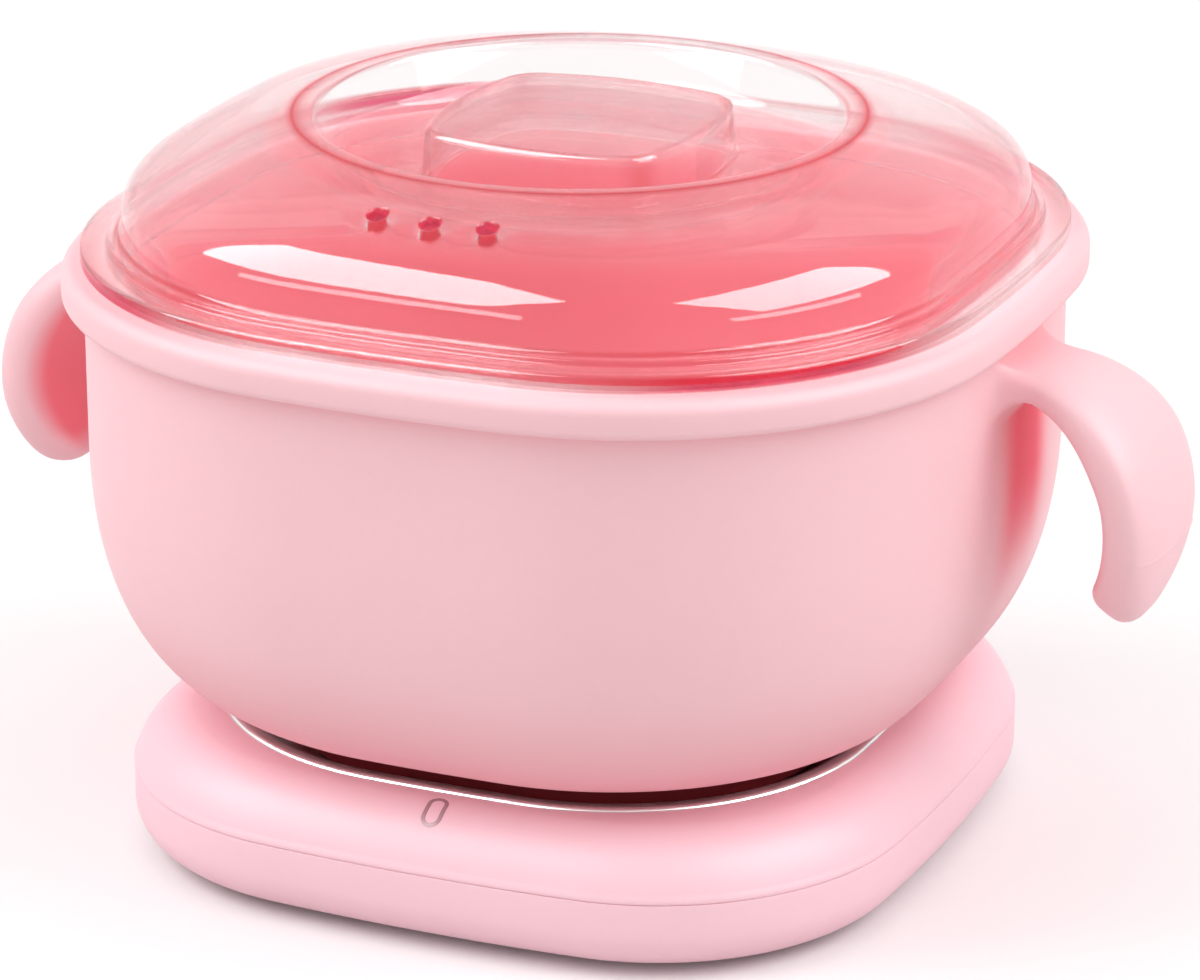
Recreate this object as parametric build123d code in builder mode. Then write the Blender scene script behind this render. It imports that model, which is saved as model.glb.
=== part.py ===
"""Candle wax melter: a silicone pot with hook ears and a clear lid, standing on a heated base.

Millimetres, +Z up, the front with the power mark faces -Y. The origin is the middle of the
footprint, on the surface that the feet stand on.
"""
from build123d import *
from math import asin, atan2, cos, degrees, radians, sin, sqrt, tan
import os

os.makedirs("parts", exist_ok=True)

# ---------------------------------------------------------------- driving dimensions
# Plan outlines are rounded squares: half size, corner radius and radius of the bulging sides.

# Base housing
foot_height = 1.2           # gap under the housing, from the surface to the lower shell
base_half = 59.6            # half of the widest width
base_corner = 37.6
base_bulge = 317.0
base_top = 20.6             # height of the crown
base_shoulder = 9.9         # radius of the top edge
base_heel = 6.0             # radius of the bottom edge
seam_height = 12.0          # where the upper and the lower shell meet
shell_wall = 2.2
lip_height = 1.0            # locating lip inside the seam
lip_depth = 1.4             # how far its root goes down the wall of the lower shell
lip_wall = 1.1

# Recess for the pot, and the heater plate in it
recess_half = 49.2
recess_corner = 38.6
recess_bulge = 361.0
recess_wall = 1.6
plate_top = 15.5            # height of the surface that the pot stands on
plate_thickness = 1.6
plate_rim_height = 5.4      # how far the rim of the plate stands up
seal_thickness = 0.8
ledge_thickness = 1.6
ledge_width = 6.0
heater_radius = 39.0
heater_thickness = 0.8
pressure_radius = 37.0
pressure_thickness = 0.8
stud_radius = 1.5
stud_ring = 24.0            # radius of the circle of studs for the pressure plate
stud_count = 3
plate_stud_spacing = 32.0   # between the two studs on one side of the plate
nut_width = 5.5             # across flats
nut_height = 1.6

# Inside the base
screw_ring = 52.0           # distance of the housing screws from the middle
screw_radius = 1.4
screw_head_radius = 2.6
screw_head_height = 1.6
head_seat = 3.6             # height of the seats of the screw heads
post_radius = 4.2
boss_bottom = 7.0           # height where the posts of the two shells meet
foot_radius = 6.5
foot_sunk = 0.6             # depth of the pockets for the feet
small_screw_radius = 1.0
small_screw_length = 2.4
small_head_radius = 1.9
small_head_height = 0.9
shield_radius = 33.0
shield_height = 8.9
shield_thickness = 0.4
shield_post_ring = 29.0
shield_post_radius = 2.6
thermistor_place = 10.0     # behind the middle
thermistor_length = 6.0
thermistor_width = 4.0
thermistor_thickness = 2.0
fuse_place = 10.0           # in front of the middle
fuse_radius = 1.2
fuse_length = 9.0
fuse_lead_radius = 0.4
fuse_lead = 4.0
clip_thickness = 0.3
clip_width = 4.0
clip_length = 7.2           # of its feet, together

# Control board and what it carries
board_length = 46.0
board_width = 22.0
board_front = 55.4          # distance of its front edge from the middle
board_height = 6.2          # height of its underside
board_thickness = 1.2
board_inset = 3.2           # screws from the edges
board_post_radius = 2.6
terminal_depth = 5.0
terminal_height = 3.6
terminal_margin = 2.4       # body of a terminal block past its outer wires
triac_size = (10.0, 7.0, 2.6)
triac_place = (13.0, -45.0)
film_capacitor_size = (11.0, 5.0, 3.6)
film_capacitor_place = (-13.0, -46.0)
drum_capacitor_radius = 1.8
drum_capacitor_length = 8.0
drum_capacitor_place = (-2.0, -47.5)
board_fuse_radius = 1.4
board_fuse_length = 8.0
board_fuse_place = (0.0, -43.0)
chip_size = (5.0, 4.0, 1.2)
chip_place = (-8.5, -52.5)
lamp_size = (1.6, 1.2, 0.8)
lamp_spacing = 4.2          # from the touch spring to the lamp

# Power mark on the front shoulder
mark_inset = 5.4            # from the edge of the housing
mark_offset = 1.2
mark_length = 5.6
mark_width = 3.1
mark_stroke = 0.6
mark_depth = 0.8
touch_spring_radius = 1.3
touch_spring_wire = 0.4
touch_spring_turns = 5
touch_spring_top = 15.8

# Mains inlet, on the rear
inlet_width = 19.0
inlet_height = 7.8
inlet_depth = 13.0
inlet_face = 57.2           # distance of its face from the middle
inlet_opening_depth = 5.4   # how far the openings in the shells reach in front of and behind the face
socket_width = 14.4
socket_height = 6.4
socket_corner = 2.6
socket_depth = 9.0
pin_spacing = 8.6
pin_radius = 1.2
pin_length = 8.0
tab_length = 3.0
tab_thickness = 1.2

# Wires
wire_radius = 0.7
sensor_wire_radius = 0.5
wire_height = 7.9           # height of the wires under the heat shield
sensor_height = 10.6        # height of the sensor lead over the heat shield
bend_share = 0.45           # of the shorter run, that each bend takes up

# Pot
rim_half = 70.0             # half of the width over the turned lip
rim_corner = 55.2
rim_bulge = 300.0
rim_bottom = 82.7
rim_height = 5.4
rim_overhang = 3.2
rim_edge = 1.2
pot_wall = 3.5
belly_top = 62.5            # the wall is straight above this height
belly_bottom = 22.3         # underside of the belly
belly_half = 42.0           # half width where the belly meets the foot
belly_corner = 35.8
belly_power = 2.33          # exponent of the superellipse that the belly follows
belly_steps = 6
pot_foot_half = 41.0
well_half = 37.0            # sunk floor above the heat disc
floor_thickness = 1.9       # silicone between the heat disc and the wax
disc_half = 37.5
disc_thickness = 1.6

# Ears of the pot
ear_overhang = 21.3         # how far the ears reach out past the lip
ear_root_height = 77.5
ear_bend = 17.5             # radius of the upper bend, on the middle line
ear_curl = 30.0             # radius of the lower part that curls back inwards
ear_curl_angle = 35.0
ear_thickness = 7.8         # where the ear reaches furthest out
ear_width = 26.0            # where it is widest
ear_root_width = 19.0
ear_root_thickness = 7.0
ear_tip_width = 13.0
ear_tip_thickness = 5.0
ear_roundness = 0.48        # corner radius of the section, as a share of its thickness
ear_tip_edge = 2.2

# Lid
flange_inset = 2.8          # from the edge of the pot's lip
flange_thickness = 2.6
bead_inset = 3.8            # from the edge of the flange
bead_height = 0.9
dome_inset = 1.4            # from the bead
dome_corner = 49.6
dome_wall_height = 5.5      # the dome rises straight up so far above the flange
dome_rise = 10.5            # and so much further to the crest
crest_radius = 41.2
crest_roundness = 0.6       # how little the crest differs from a circle
dome_steps = 5
lid_wall = 2.0
skirt_depth = 3.6
skirt_wall = 1.6
finger_radius = 38.2        # finger recess at the crest
finger_floor_radius = 36.0
finger_depth = 8.0
grip_half = 20.4
grip_corner = 6.5
grip_bulge = 52.0
vent_radius = 1.45
vent_ring = 50.7            # distance of the vents from the middle
vent_pitch = 8.2
vent_count = 3

# Clearances
plate_clearance = 0.3       # heater plate in its recess
rest_gap = 0.3              # silicone on metal and clear plastic on silicone
skirt_clearance = 0.8       # lid skirt in the mouth of the pot
fit_clearance = 0.15        # small parts in their pockets
shell_clearance = 0.4       # locating lip in the upper shell

# ---------------------------------------------------------------- sizes that follow
plate_bottom = plate_top - plate_thickness
seal_bottom = plate_bottom - seal_thickness
ledge_bottom = seal_bottom - ledge_thickness
heater_bottom = plate_bottom - heater_thickness
pressure_bottom = heater_bottom - pressure_thickness
cover_floor = foot_height + shell_wall
shoulder_height = base_top - base_shoulder
screw_offset = screw_ring / sqrt(2)
board_top = board_height + board_thickness
board_middle = board_width / 2 - board_front
board_rear = board_width - board_front
inlet_bottom = cover_floor
inlet_middle = inlet_bottom + inlet_height / 2
fuse_height = pressure_bottom - fuse_radius
pot_bottom = plate_top + rest_gap
disc_top = pot_bottom + disc_thickness
well_floor = disc_top + floor_thickness
rim_top = rim_bottom + rim_height
lid_bottom = rim_top + rest_gap
flange_top = lid_bottom + flange_thickness
dome_wall_top = flange_top + dome_wall_height
crest_height = dome_wall_top + dome_rise
ear_reach = rim_half + ear_overhang
finger_floor = crest_height - finger_depth


def grown(plan, distance):
    """The plan outline moved outwards by a distance."""
    return tuple(size + distance for size in plan)


def blend(first, last, share):
    """A plan outline between two others."""
    return tuple(a + (b - a) * share for a, b in zip(first, last))


def rounded_square(half, corner, bulge):
    """Face in the open sketch: four wide side arcs joined by four tangent corner arcs."""
    side = half - bulge
    knee = (side + sqrt(2 * (bulge - corner) ** 2 - side ** 2)) / 2
    spread = degrees(atan2(knee, knee - side))
    with BuildLine() as loop:
        for turn in range(0, 360, 90):
            side_centre = Vector(side, 0).rotate(Axis.Z, turn)
            knee_centre = Vector(knee, knee).rotate(Axis.Z, turn)
            CenterArc(side_centre, bulge, turn - spread, 2 * spread)
            CenterArc(knee_centre, corner, turn + spread, 90 - 2 * spread)
    make_face(loop.line.edges())


def slab(plan, bottom, top, mode=Mode.ADD):
    """Upright block of a plan outline in the open part."""
    with BuildSketch(Plane.XY.offset(bottom)) as section:
        rounded_square(*plan)
    extrude(section.sketch, amount=top - bottom, mode=mode)


def loft_through(levels, mode=Mode.ADD):
    """Smooth block through (plan, height) levels in the open part."""
    sections = []
    for plan, height in levels:
        with BuildSketch(Plane.XY.offset(height)) as section:
            rounded_square(*plan)
        sections.append(section.sketch)
    loft(sections, mode=mode)


def rod(radius, bottom, top, mode=Mode.ADD):
    """Upright cylinder between two heights, at the open locations."""
    with Locations((0, 0, bottom)):
        Cylinder(radius, top - bottom, align=(Align.CENTER, Align.CENTER, Align.MIN), mode=mode)


def finish(part, name):
    """Label a finished piece and write its file."""
    part.label = name
    export_step(part, f"parts/{name}.step")


def tube(points, radius):
    """Round wire in the open part, along straight runs joined by tangent arcs."""
    corners = [Vector(*point) for point in points]
    bends = []
    for before, corner, after in zip(corners, corners[1:], corners[2:]):
        turn = radians((corner - before).get_angle(after - corner))
        shorter = min((corner - before).length, (after - corner).length)
        bends.append(bend_share * shorter / tan(turn / 2))
    with BuildLine() as route:
        FilletPolyline(*points, radius=bends)
    with BuildSketch(Plane(origin=route.line @ 0, z_dir=route.line % 0)) as section:
        Circle(radius)
    sweep(section.sketch, path=route.line)


# ---------------------------------------------------------------- plan outlines
base_plan = (base_half, base_corner, base_bulge)
base_inner_plan = grown(base_plan, -shell_wall)
recess_plan = (recess_half, recess_corner, recess_bulge)
plate_plan = grown(recess_plan, -plate_clearance)
ledge_plan = grown(recess_plan, -ledge_width)
rim_plan = (rim_half, rim_corner, rim_bulge)
wall_plan = grown(rim_plan, -rim_overhang)
mouth_plan = grown(wall_plan, -pot_wall)
belly_plan = (belly_half, belly_corner, rim_bulge)
pot_foot_plan = grown(belly_plan, pot_foot_half - belly_half)
well_plan = grown(belly_plan, well_half - belly_half)
disc_plan = grown(belly_plan, disc_half - belly_half)
flange_plan = grown(rim_plan, -flange_inset)
bead_plan = grown(flange_plan, -bead_inset)
dome_plan = (bead_plan[0] - dome_inset, dome_corner, rim_bulge)
crest_plan = (crest_radius, crest_radius - crest_roundness, crest_radius + crest_roundness)
skirt_plan = grown(mouth_plan, -skirt_clearance)
skirt_inner_plan = grown(skirt_plan, -skirt_wall)
grip_plan = (grip_half, grip_corner, grip_bulge)

# Sections of an ear: place along its spine, width and thickness
ear_sections = [
    (0.0, ear_root_width, ear_root_thickness),
    (0.45, (ear_root_width + 3 * ear_width) / 4, ear_thickness),
    (0.72, ear_width, ear_thickness),
    (0.9, (ear_tip_width + 2 * ear_width) / 3, (ear_tip_thickness + 2 * ear_thickness) / 3),
    (1.0, ear_tip_width, ear_tip_thickness),
]
corner_places = [(x * screw_offset, y * screw_offset) for x in (-1, 1) for y in (-1, 1)]
plate_stud_places = [(x * (recess_half - ledge_width / 2), y * plate_stud_spacing / 2)
                     for x in (-1, 1) for y in (-1, 1)]
pressure_stud_places = [Vector(0, stud_ring).rotate(Axis.Z, 360 * turn / stud_count)
                        for turn in range(stud_count)]
shield_post_places = [Vector(0, -shield_post_ring).rotate(Axis.Z, 360 * turn / stud_count)
                      for turn in range(stud_count)]
board_post_places = [(board_inset - board_length / 2, board_inset - board_front),
                     (board_length / 2 - board_inset, board_inset - board_front),
                     (0, board_rear - board_inset)]

mains_wire_places = (-13.0, -10.0)
heater_wire_places = (15.5, 19.0)
sensor_wire_place = -20.0
lead_ring = heater_radius - wire_radius   # where the leads meet the rim of the heater
inlet_plane = Plane(origin=(0, inlet_face, inlet_middle), x_dir=(1, 0, 0), z_dir=(0, 1, 0))
spring_line = -(board_front - touch_spring_radius)
spring_pitch = (touch_spring_top - board_top - 2 * touch_spring_wire) / touch_spring_turns
spring_start = Plane(origin=(mark_offset + touch_spring_radius - touch_spring_wire, spring_line,
                             board_top + touch_spring_wire), z_dir=(0, 1, 0))

# The mark lies square to the shoulder, on a plane that touches it
mark_distance = base_half - mark_inset
mark_lean = asin((base_shoulder - mark_inset) / base_shoulder)
mark_plane = Plane(origin=(mark_offset, -mark_distance,
                           shoulder_height + base_shoulder * cos(mark_lean)),
                   x_dir=(1, 0, 0), z_dir=(0, -sin(mark_lean), cos(mark_lean)))


def belly_levels(inset):
    """Superellipse of the belly, moved inwards by an inset, from the straight wall to the foot."""
    levels = []
    for step in range(belly_steps + 1):
        turn = radians(90 * step / belly_steps)
        inward = 1 - cos(turn) ** (2 / belly_power)
        down = sin(turn) ** (2 / belly_power)
        plan = grown(blend(wall_plan, belly_plan, inward), -inset)
        levels.append((plan, belly_top - down * (belly_top - belly_bottom - inset)))
    return levels


def dome_levels(inset):
    """Parabolic dome of the lid, moved inwards by an inset, from its upright wall to the crest."""
    levels = []
    for step in range(dome_steps + 1):
        share = step / dome_steps
        plan = grown(blend(dome_plan, crest_plan, share ** 2), -inset)
        levels.append((plan, dome_wall_top + share * (crest_height - dome_wall_top - inset)))
    return levels


# ---------------------------------------------------------------- lid
with BuildPart() as lid:
    slab(flange_plan, lid_bottom, flange_top)
    slab(bead_plan, flange_top, flange_top + bead_height)
    slab(dome_plan, flange_top, dome_wall_top)
    loft_through(dome_levels(0))
    slab(skirt_plan, lid_bottom - skirt_depth, lid_bottom)
    slab(grown(dome_plan, -lid_wall), lid_bottom, dome_wall_top, Mode.SUBTRACT)
    slab(skirt_inner_plan, lid_bottom - skirt_depth, lid_bottom, Mode.SUBTRACT)
    loft_through(dome_levels(lid_wall), Mode.SUBTRACT)
    with BuildSketch(Plane.XZ):
        Polygon((0, finger_floor - lid_wall), (finger_floor_radius + lid_wall, finger_floor - lid_wall),
                (finger_radius + lid_wall, crest_height), (0, crest_height), align=None)
    revolve(axis=Axis.Z)
    with BuildSketch(Plane.XZ):
        Polygon((0, finger_floor), (finger_floor_radius, finger_floor),
                (finger_radius, crest_height), (finger_radius, crest_height + lid_wall),
                (0, crest_height + lid_wall), align=None)
    revolve(axis=Axis.Z, mode=Mode.SUBTRACT)
    slab(grip_plan, finger_floor, crest_height)
    slab(grown(grip_plan, -lid_wall), finger_floor - lid_wall, crest_height - lid_wall,
         Mode.SUBTRACT)
    for index in range(vent_count):
        across = (index - (vent_count - 1) / 2) * vent_pitch
        with Locations((across, -sqrt(vent_ring ** 2 - across ** 2))):
            rod(vent_radius, dome_wall_top, crest_height, Mode.SUBTRACT)
finish(lid.part, "lid")

# ---------------------------------------------------------------- pot
with BuildPart() as ear:
    with BuildLine(Plane.XZ) as spine:
        root = Line((wall_plan[0] - pot_wall / 2, ear_root_height),
                    (ear_reach - ear_thickness / 2 - ear_bend, ear_root_height))
        bend = JernArc(root @ 1, root % 1, ear_bend, -90)
        JernArc(bend @ 1, bend % 1, ear_curl, -ear_curl_angle)
    for share, width, thickness in ear_sections:
        place = Plane(origin=spine.line @ share, x_dir=(0, 1, 0), z_dir=spine.line % share)
        with BuildSketch(place):
            RectangleRounded(width, thickness, thickness * ear_roundness)
    sweep(path=spine.line, multisection=True)
    fillet(ear.faces().sort_by(Axis.Z)[0].edges(), ear_tip_edge)

with BuildPart() as wax_pot:
    slab(rim_plan, rim_bottom, rim_top)
    fillet(wax_pot.edges().group_by(Axis.Z)[-1], rim_edge)
    fillet(wax_pot.edges().group_by(Axis.Z)[0], rim_edge)
    slab(wall_plan, belly_top, rim_top)
    loft_through(belly_levels(0))
    slab(pot_foot_plan, pot_bottom, belly_bottom + pot_wall)
    add(ear.part)
    mirror(ear.part, about=Plane.YZ)
    slab(mouth_plan, belly_top, rim_top, Mode.SUBTRACT)
    loft_through(belly_levels(pot_wall), Mode.SUBTRACT)
    slab(well_plan, well_floor, belly_bottom + 2 * pot_wall, Mode.SUBTRACT)
    slab(disc_plan, pot_bottom, disc_top, Mode.SUBTRACT)
finish(wax_pot.part, "wax_pot")

with BuildPart() as pot_heat_disc:
    slab(disc_plan, pot_bottom, disc_top)
finish(pot_heat_disc.part, "pot_heat_disc")

# ---------------------------------------------------------------- base housing
def inlet_opening():
    """Cut the opening around the mains inlet out of the open part."""
    with Locations((0, inlet_face, inlet_bottom)):
        Box(inlet_width + 2 * fit_clearance, 2 * inlet_opening_depth, inlet_height + fit_clearance,
            align=(Align.CENTER, Align.CENTER, Align.MIN), mode=Mode.SUBTRACT)


with BuildPart() as housing:
    slab(base_plan, foot_height, base_top)
    fillet(housing.edges().group_by(Axis.Z)[-1], base_shoulder)
    fillet(housing.edges().group_by(Axis.Z)[0], base_heel)

with BuildPart() as hollow:
    slab(base_inner_plan, cover_floor, base_top - shell_wall)
    fillet(hollow.edges().group_by(Axis.Z)[-1], base_shoulder - shell_wall)
    fillet(hollow.edges().group_by(Axis.Z)[0], base_heel - shell_wall)

with BuildPart() as mark_ring:
    with BuildSketch(mark_plane):
        SlotOverall(mark_length, mark_width, rotation=90)
        SlotOverall(mark_length - 2 * mark_stroke, mark_width - 2 * mark_stroke, rotation=90,
                    mode=Mode.SUBTRACT)
    extrude(amount=mark_depth, both=True)
    add(housing.part, mode=Mode.INTERSECT)
finish(mark_ring.part, "power_mark")

with BuildPart() as base_shell:
    add(housing.part)
    add(hollow.part, mode=Mode.SUBTRACT)
    split(bisect_by=Plane.XY.offset(seam_height), keep=Keep.TOP)
    slab(grown(recess_plan, recess_wall), ledge_bottom, base_top - shell_wall / 2)
    slab(recess_plan, seal_bottom, base_top, Mode.SUBTRACT)
    slab(ledge_plan, ledge_bottom, seal_bottom, Mode.SUBTRACT)
    with Locations(*corner_places):
        rod(post_radius, boss_bottom, ledge_bottom)
        rod(screw_radius, boss_bottom, seal_bottom - ledge_thickness / 2, Mode.SUBTRACT)
    with Locations(*plate_stud_places):
        rod(stud_radius + fit_clearance, ledge_bottom, seal_bottom, Mode.SUBTRACT)
    add(mark_ring.part, mode=Mode.SUBTRACT)
    inlet_opening()
finish(base_shell.part, "base_shell")

with BuildPart() as base_cover:
    add(housing.part)
    add(hollow.part, mode=Mode.SUBTRACT)
    split(bisect_by=Plane.XY.offset(seam_height), keep=Keep.BOTTOM)
    slab(base_inner_plan, seam_height - lip_depth, seam_height)
    slab(grown(base_inner_plan, -shell_clearance), seam_height, seam_height + lip_height)
    slab(grown(base_inner_plan, -shell_clearance - lip_wall), seam_height - lip_depth,
         seam_height + lip_height, Mode.SUBTRACT)
    with Locations(*corner_places):
        rod(post_radius, foot_height, boss_bottom - rest_gap)
        rod(screw_radius + fit_clearance, foot_height, boss_bottom, Mode.SUBTRACT)
        rod(screw_head_radius + fit_clearance, foot_height, head_seat, Mode.SUBTRACT)
        rod(foot_radius + fit_clearance, foot_height, foot_height + foot_sunk, Mode.SUBTRACT)
    with Locations(*board_post_places):
        rod(board_post_radius, cover_floor, board_height)
        rod(small_screw_radius, cover_floor, board_height, Mode.SUBTRACT)
    with Locations(*shield_post_places):
        rod(shield_post_radius, cover_floor, shield_height)
        rod(small_screw_radius, shield_height - small_screw_length, shield_height, Mode.SUBTRACT)
    inlet_opening()
finish(base_cover.part, "base_cover")

with BuildPart() as rubber_feet:
    with Locations(*corner_places):
        rod(foot_radius, 0, foot_height + foot_sunk)
finish(rubber_feet.part, "rubber_feet")

with BuildPart() as housing_screws:
    with Locations(*corner_places):
        rod(screw_head_radius, head_seat - screw_head_height, head_seat)
        rod(screw_radius, head_seat, seal_bottom - ledge_thickness)
finish(housing_screws.part, "housing_screws")

# ---------------------------------------------------------------- heater
with BuildPart() as heater_plate:
    slab(plate_plan, plate_bottom, plate_top + plate_rim_height)
    slab(grown(plate_plan, -plate_thickness), plate_top, plate_top + plate_rim_height,
         Mode.SUBTRACT)
    with Locations(*plate_stud_places):
        rod(stud_radius, ledge_bottom - nut_height - rest_gap, plate_bottom)
    with Locations(*pressure_stud_places):
        rod(stud_radius, pressure_bottom - nut_height - rest_gap, plate_bottom)
finish(heater_plate.part, "heater_plate")

with BuildPart() as plate_seal:
    slab(plate_plan, seal_bottom, plate_bottom)
    slab(ledge_plan, seal_bottom, plate_bottom, Mode.SUBTRACT)
    with Locations(*plate_stud_places):
        rod(stud_radius + fit_clearance, seal_bottom, plate_bottom, Mode.SUBTRACT)
finish(plate_seal.part, "plate_seal")

with BuildPart() as mica_heater:
    rod(heater_radius, heater_bottom, plate_bottom)
    with Locations(*pressure_stud_places):
        rod(stud_radius + fit_clearance, heater_bottom, plate_bottom, Mode.SUBTRACT)
finish(mica_heater.part, "mica_heater")

with BuildPart() as pressure_plate:
    rod(pressure_radius, pressure_bottom, heater_bottom)
    with Locations(*pressure_stud_places):
        rod(stud_radius + fit_clearance, pressure_bottom, heater_bottom, Mode.SUBTRACT)
finish(pressure_plate.part, "pressure_plate")


def nuts(places, top):
    """Hexagon nuts on studs, in the open part, hanging under a height."""
    with BuildSketch(Plane.XY.offset(top - nut_height)) as section:
        with Locations(*places):
            RegularPolygon(nut_width / 2, 6, major_radius=False)
            Circle(stud_radius + fit_clearance, mode=Mode.SUBTRACT)
    extrude(section.sketch, amount=nut_height)


with BuildPart() as pressure_nuts:
    nuts(pressure_stud_places, pressure_bottom)
finish(pressure_nuts.part, "pressure_nuts")

with BuildPart() as plate_nuts:
    nuts(plate_stud_places, ledge_bottom)
finish(plate_nuts.part, "plate_nuts")

with BuildPart() as heat_shield:
    rod(shield_radius, shield_height, shield_height + shield_thickness)
    with Locations(*shield_post_places):
        rod(small_screw_radius + fit_clearance, shield_height, shield_height + shield_thickness,
            Mode.SUBTRACT)
finish(heat_shield.part, "heat_shield")

with BuildPart() as shield_screws:
    with Locations(*shield_post_places):
        rod(small_head_radius, shield_height + shield_thickness,
            shield_height + shield_thickness + small_head_height)
        rod(small_screw_radius, shield_height - small_screw_length,
            shield_height + shield_thickness)
finish(shield_screws.part, "shield_screws")

with BuildPart() as thermistor:
    with Locations((0, thermistor_place, pressure_bottom)):
        Box(thermistor_length, thermistor_width, thermistor_thickness,
            align=(Align.CENTER, Align.CENTER, Align.MAX))
finish(thermistor.part, "thermistor")

with BuildPart() as thermal_fuse:
    with Locations((0, -fuse_place, fuse_height)):
        Cylinder(fuse_radius, fuse_length, rotation=(0, 90, 0))
        Cylinder(fuse_lead_radius, fuse_length + 2 * fuse_lead, rotation=(0, 90, 0))
finish(thermal_fuse.part, "thermal_fuse")

with BuildPart() as fuse_clip:
    with BuildSketch(Plane.YZ):
        with Locations((-fuse_place, fuse_height)):
            Circle(fuse_radius + clip_thickness)
            Rectangle(2 * (fuse_radius + clip_thickness), fuse_radius,
                      align=(Align.CENTER, Align.MIN))
        with Locations((-fuse_place, pressure_bottom)):
            Rectangle(clip_length, clip_thickness, align=(Align.CENTER, Align.MAX))
            Rectangle(clip_length, fuse_radius, align=(Align.CENTER, Align.MIN),
                      mode=Mode.SUBTRACT)
        with Locations((-fuse_place, fuse_height)):
            Rectangle(2 * fuse_radius, fuse_radius, align=(Align.CENTER, Align.MIN),
                      mode=Mode.SUBTRACT)
            Circle(fuse_radius, mode=Mode.SUBTRACT)
    extrude(amount=clip_width / 2, both=True)
finish(fuse_clip.part, "fuse_clip")

# ---------------------------------------------------------------- control board
with BuildPart() as control_board:
    with BuildSketch(Plane.XY.offset(board_height)):
        with Locations((0, board_middle)):
            RectangleRounded(board_length, board_width, board_thickness)
        with Locations(*board_post_places):
            Circle(small_screw_radius + fit_clearance, mode=Mode.SUBTRACT)
    extrude(amount=board_thickness)
finish(control_board.part, "control_board")

with BuildPart() as board_screws:
    with Locations(*board_post_places):
        rod(small_head_radius, board_top, board_top + small_head_height)
        rod(small_screw_radius, board_height - small_screw_length, board_top)
finish(board_screws.part, "board_screws")


def on_board(place, size):
    """Box standing on the control board, in the open part."""
    with Locations((*place, board_top)):
        Box(*size, align=(Align.CENTER, Align.CENTER, Align.MIN))


with BuildPart() as triac:
    on_board(triac_place, triac_size)
finish(triac.part, "triac")

with BuildPart() as film_capacitor:
    on_board(film_capacitor_place, film_capacitor_size)
    fillet(film_capacitor.edges().filter_by(Axis.Z), board_thickness / 2)
finish(film_capacitor.part, "film_capacitor")

with BuildPart() as drum_capacitor:
    with Locations((*drum_capacitor_place, board_top + drum_capacitor_radius)):
        Cylinder(drum_capacitor_radius, drum_capacitor_length, rotation=(0, 90, 0))
finish(drum_capacitor.part, "drum_capacitor")

with BuildPart() as board_fuse:
    with Locations((*board_fuse_place, board_top + board_fuse_radius)):
        Cylinder(board_fuse_radius, board_fuse_length, rotation=(0, 90, 0))
finish(board_fuse.part, "board_fuse")

with BuildPart() as controller_chip:
    on_board(chip_place, chip_size)
finish(controller_chip.part, "controller_chip")

with BuildPart() as indicator_lamp:
    on_board((mark_offset + lamp_spacing, spring_line), lamp_size)
finish(indicator_lamp.part, "indicator_lamp")

with BuildPart() as touch_spring:
    with BuildLine():
        Helix(spring_pitch, touch_spring_top - board_top - 2 * touch_spring_wire,
              touch_spring_radius - touch_spring_wire,
              center=(mark_offset, spring_line, board_top + touch_spring_wire))
    with BuildSketch(spring_start):
        Circle(touch_spring_wire)
    sweep(is_frenet=True)
finish(touch_spring.part, "touch_spring")

with BuildPart() as terminal_blocks:
    for wires in (mains_wire_places, heater_wire_places, (sensor_wire_place,)):
        middle = (min(wires) + max(wires)) / 2
        length = max(wires) - min(wires) + 2 * terminal_margin
        on_board((middle, board_rear - terminal_depth / 2),
                 (length, terminal_depth, terminal_height))
finish(terminal_blocks.part, "terminal_blocks")

# ---------------------------------------------------------------- mains inlet
with BuildPart() as mains_inlet:
    with Locations((0, inlet_face, inlet_bottom)):
        Box(inlet_width, inlet_depth, inlet_height, align=(Align.CENTER, Align.MAX, Align.MIN))
    with BuildSketch(inlet_plane):
        RectangleRounded(socket_width, socket_height, socket_corner)
    extrude(amount=-socket_depth, mode=Mode.SUBTRACT)
    with BuildSketch(inlet_plane):
        with GridLocations(pin_spacing, 0, 2, 1):
            Circle(pin_radius)
    extrude(amount=-inlet_depth, mode=Mode.SUBTRACT)
finish(mains_inlet.part, "mains_inlet")

with BuildPart() as inlet_pins:
    with BuildSketch(inlet_plane.offset(pin_length - socket_depth)):
        with GridLocations(pin_spacing, 0, 2, 1):
            Circle(pin_radius)
    extrude(amount=socket_depth - pin_length - inlet_depth)
    with BuildSketch(inlet_plane.offset(-inlet_depth)):
        with GridLocations(pin_spacing, 0, 2, 1):
            Rectangle(2 * pin_radius, tab_thickness)
    extrude(amount=-tab_length)
finish(inlet_pins.part, "inlet_pins")

# ---------------------------------------------------------------- wires
tab_end = inlet_face - inlet_depth - tab_length
with BuildPart() as mains_wires:
    for pin, place in zip((-pin_spacing / 2, pin_spacing / 2), mains_wire_places):
        tube([(pin, tab_end, wire_height),
              (pin, tab_end - 4, wire_height),
              (place, tab_end - 14 - pin, wire_height),
              (place, board_rear, wire_height)], wire_radius)
finish(mains_wires.part, "mains_wires")

with BuildPart() as heater_leads:
    inner, outer = heater_wire_places
    tube([(outer, board_rear, wire_height), (outer, board_rear + 3.5, wire_height),
          (36, -14, wire_height), (lead_ring, -5, wire_height), (lead_ring, 0, wire_height),
          (lead_ring, 0, heater_bottom)], wire_radius)
    tube([(inner, board_rear, wire_height), (inner, board_rear + 4.5, wire_height),
          (33.8, -12.5, wire_height), (36.2, 0, wire_height), (37, 9.9, wire_height),
          (37, 9.9, heater_bottom)], wire_radius)
finish(heater_leads.part, "heater_leads")

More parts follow.
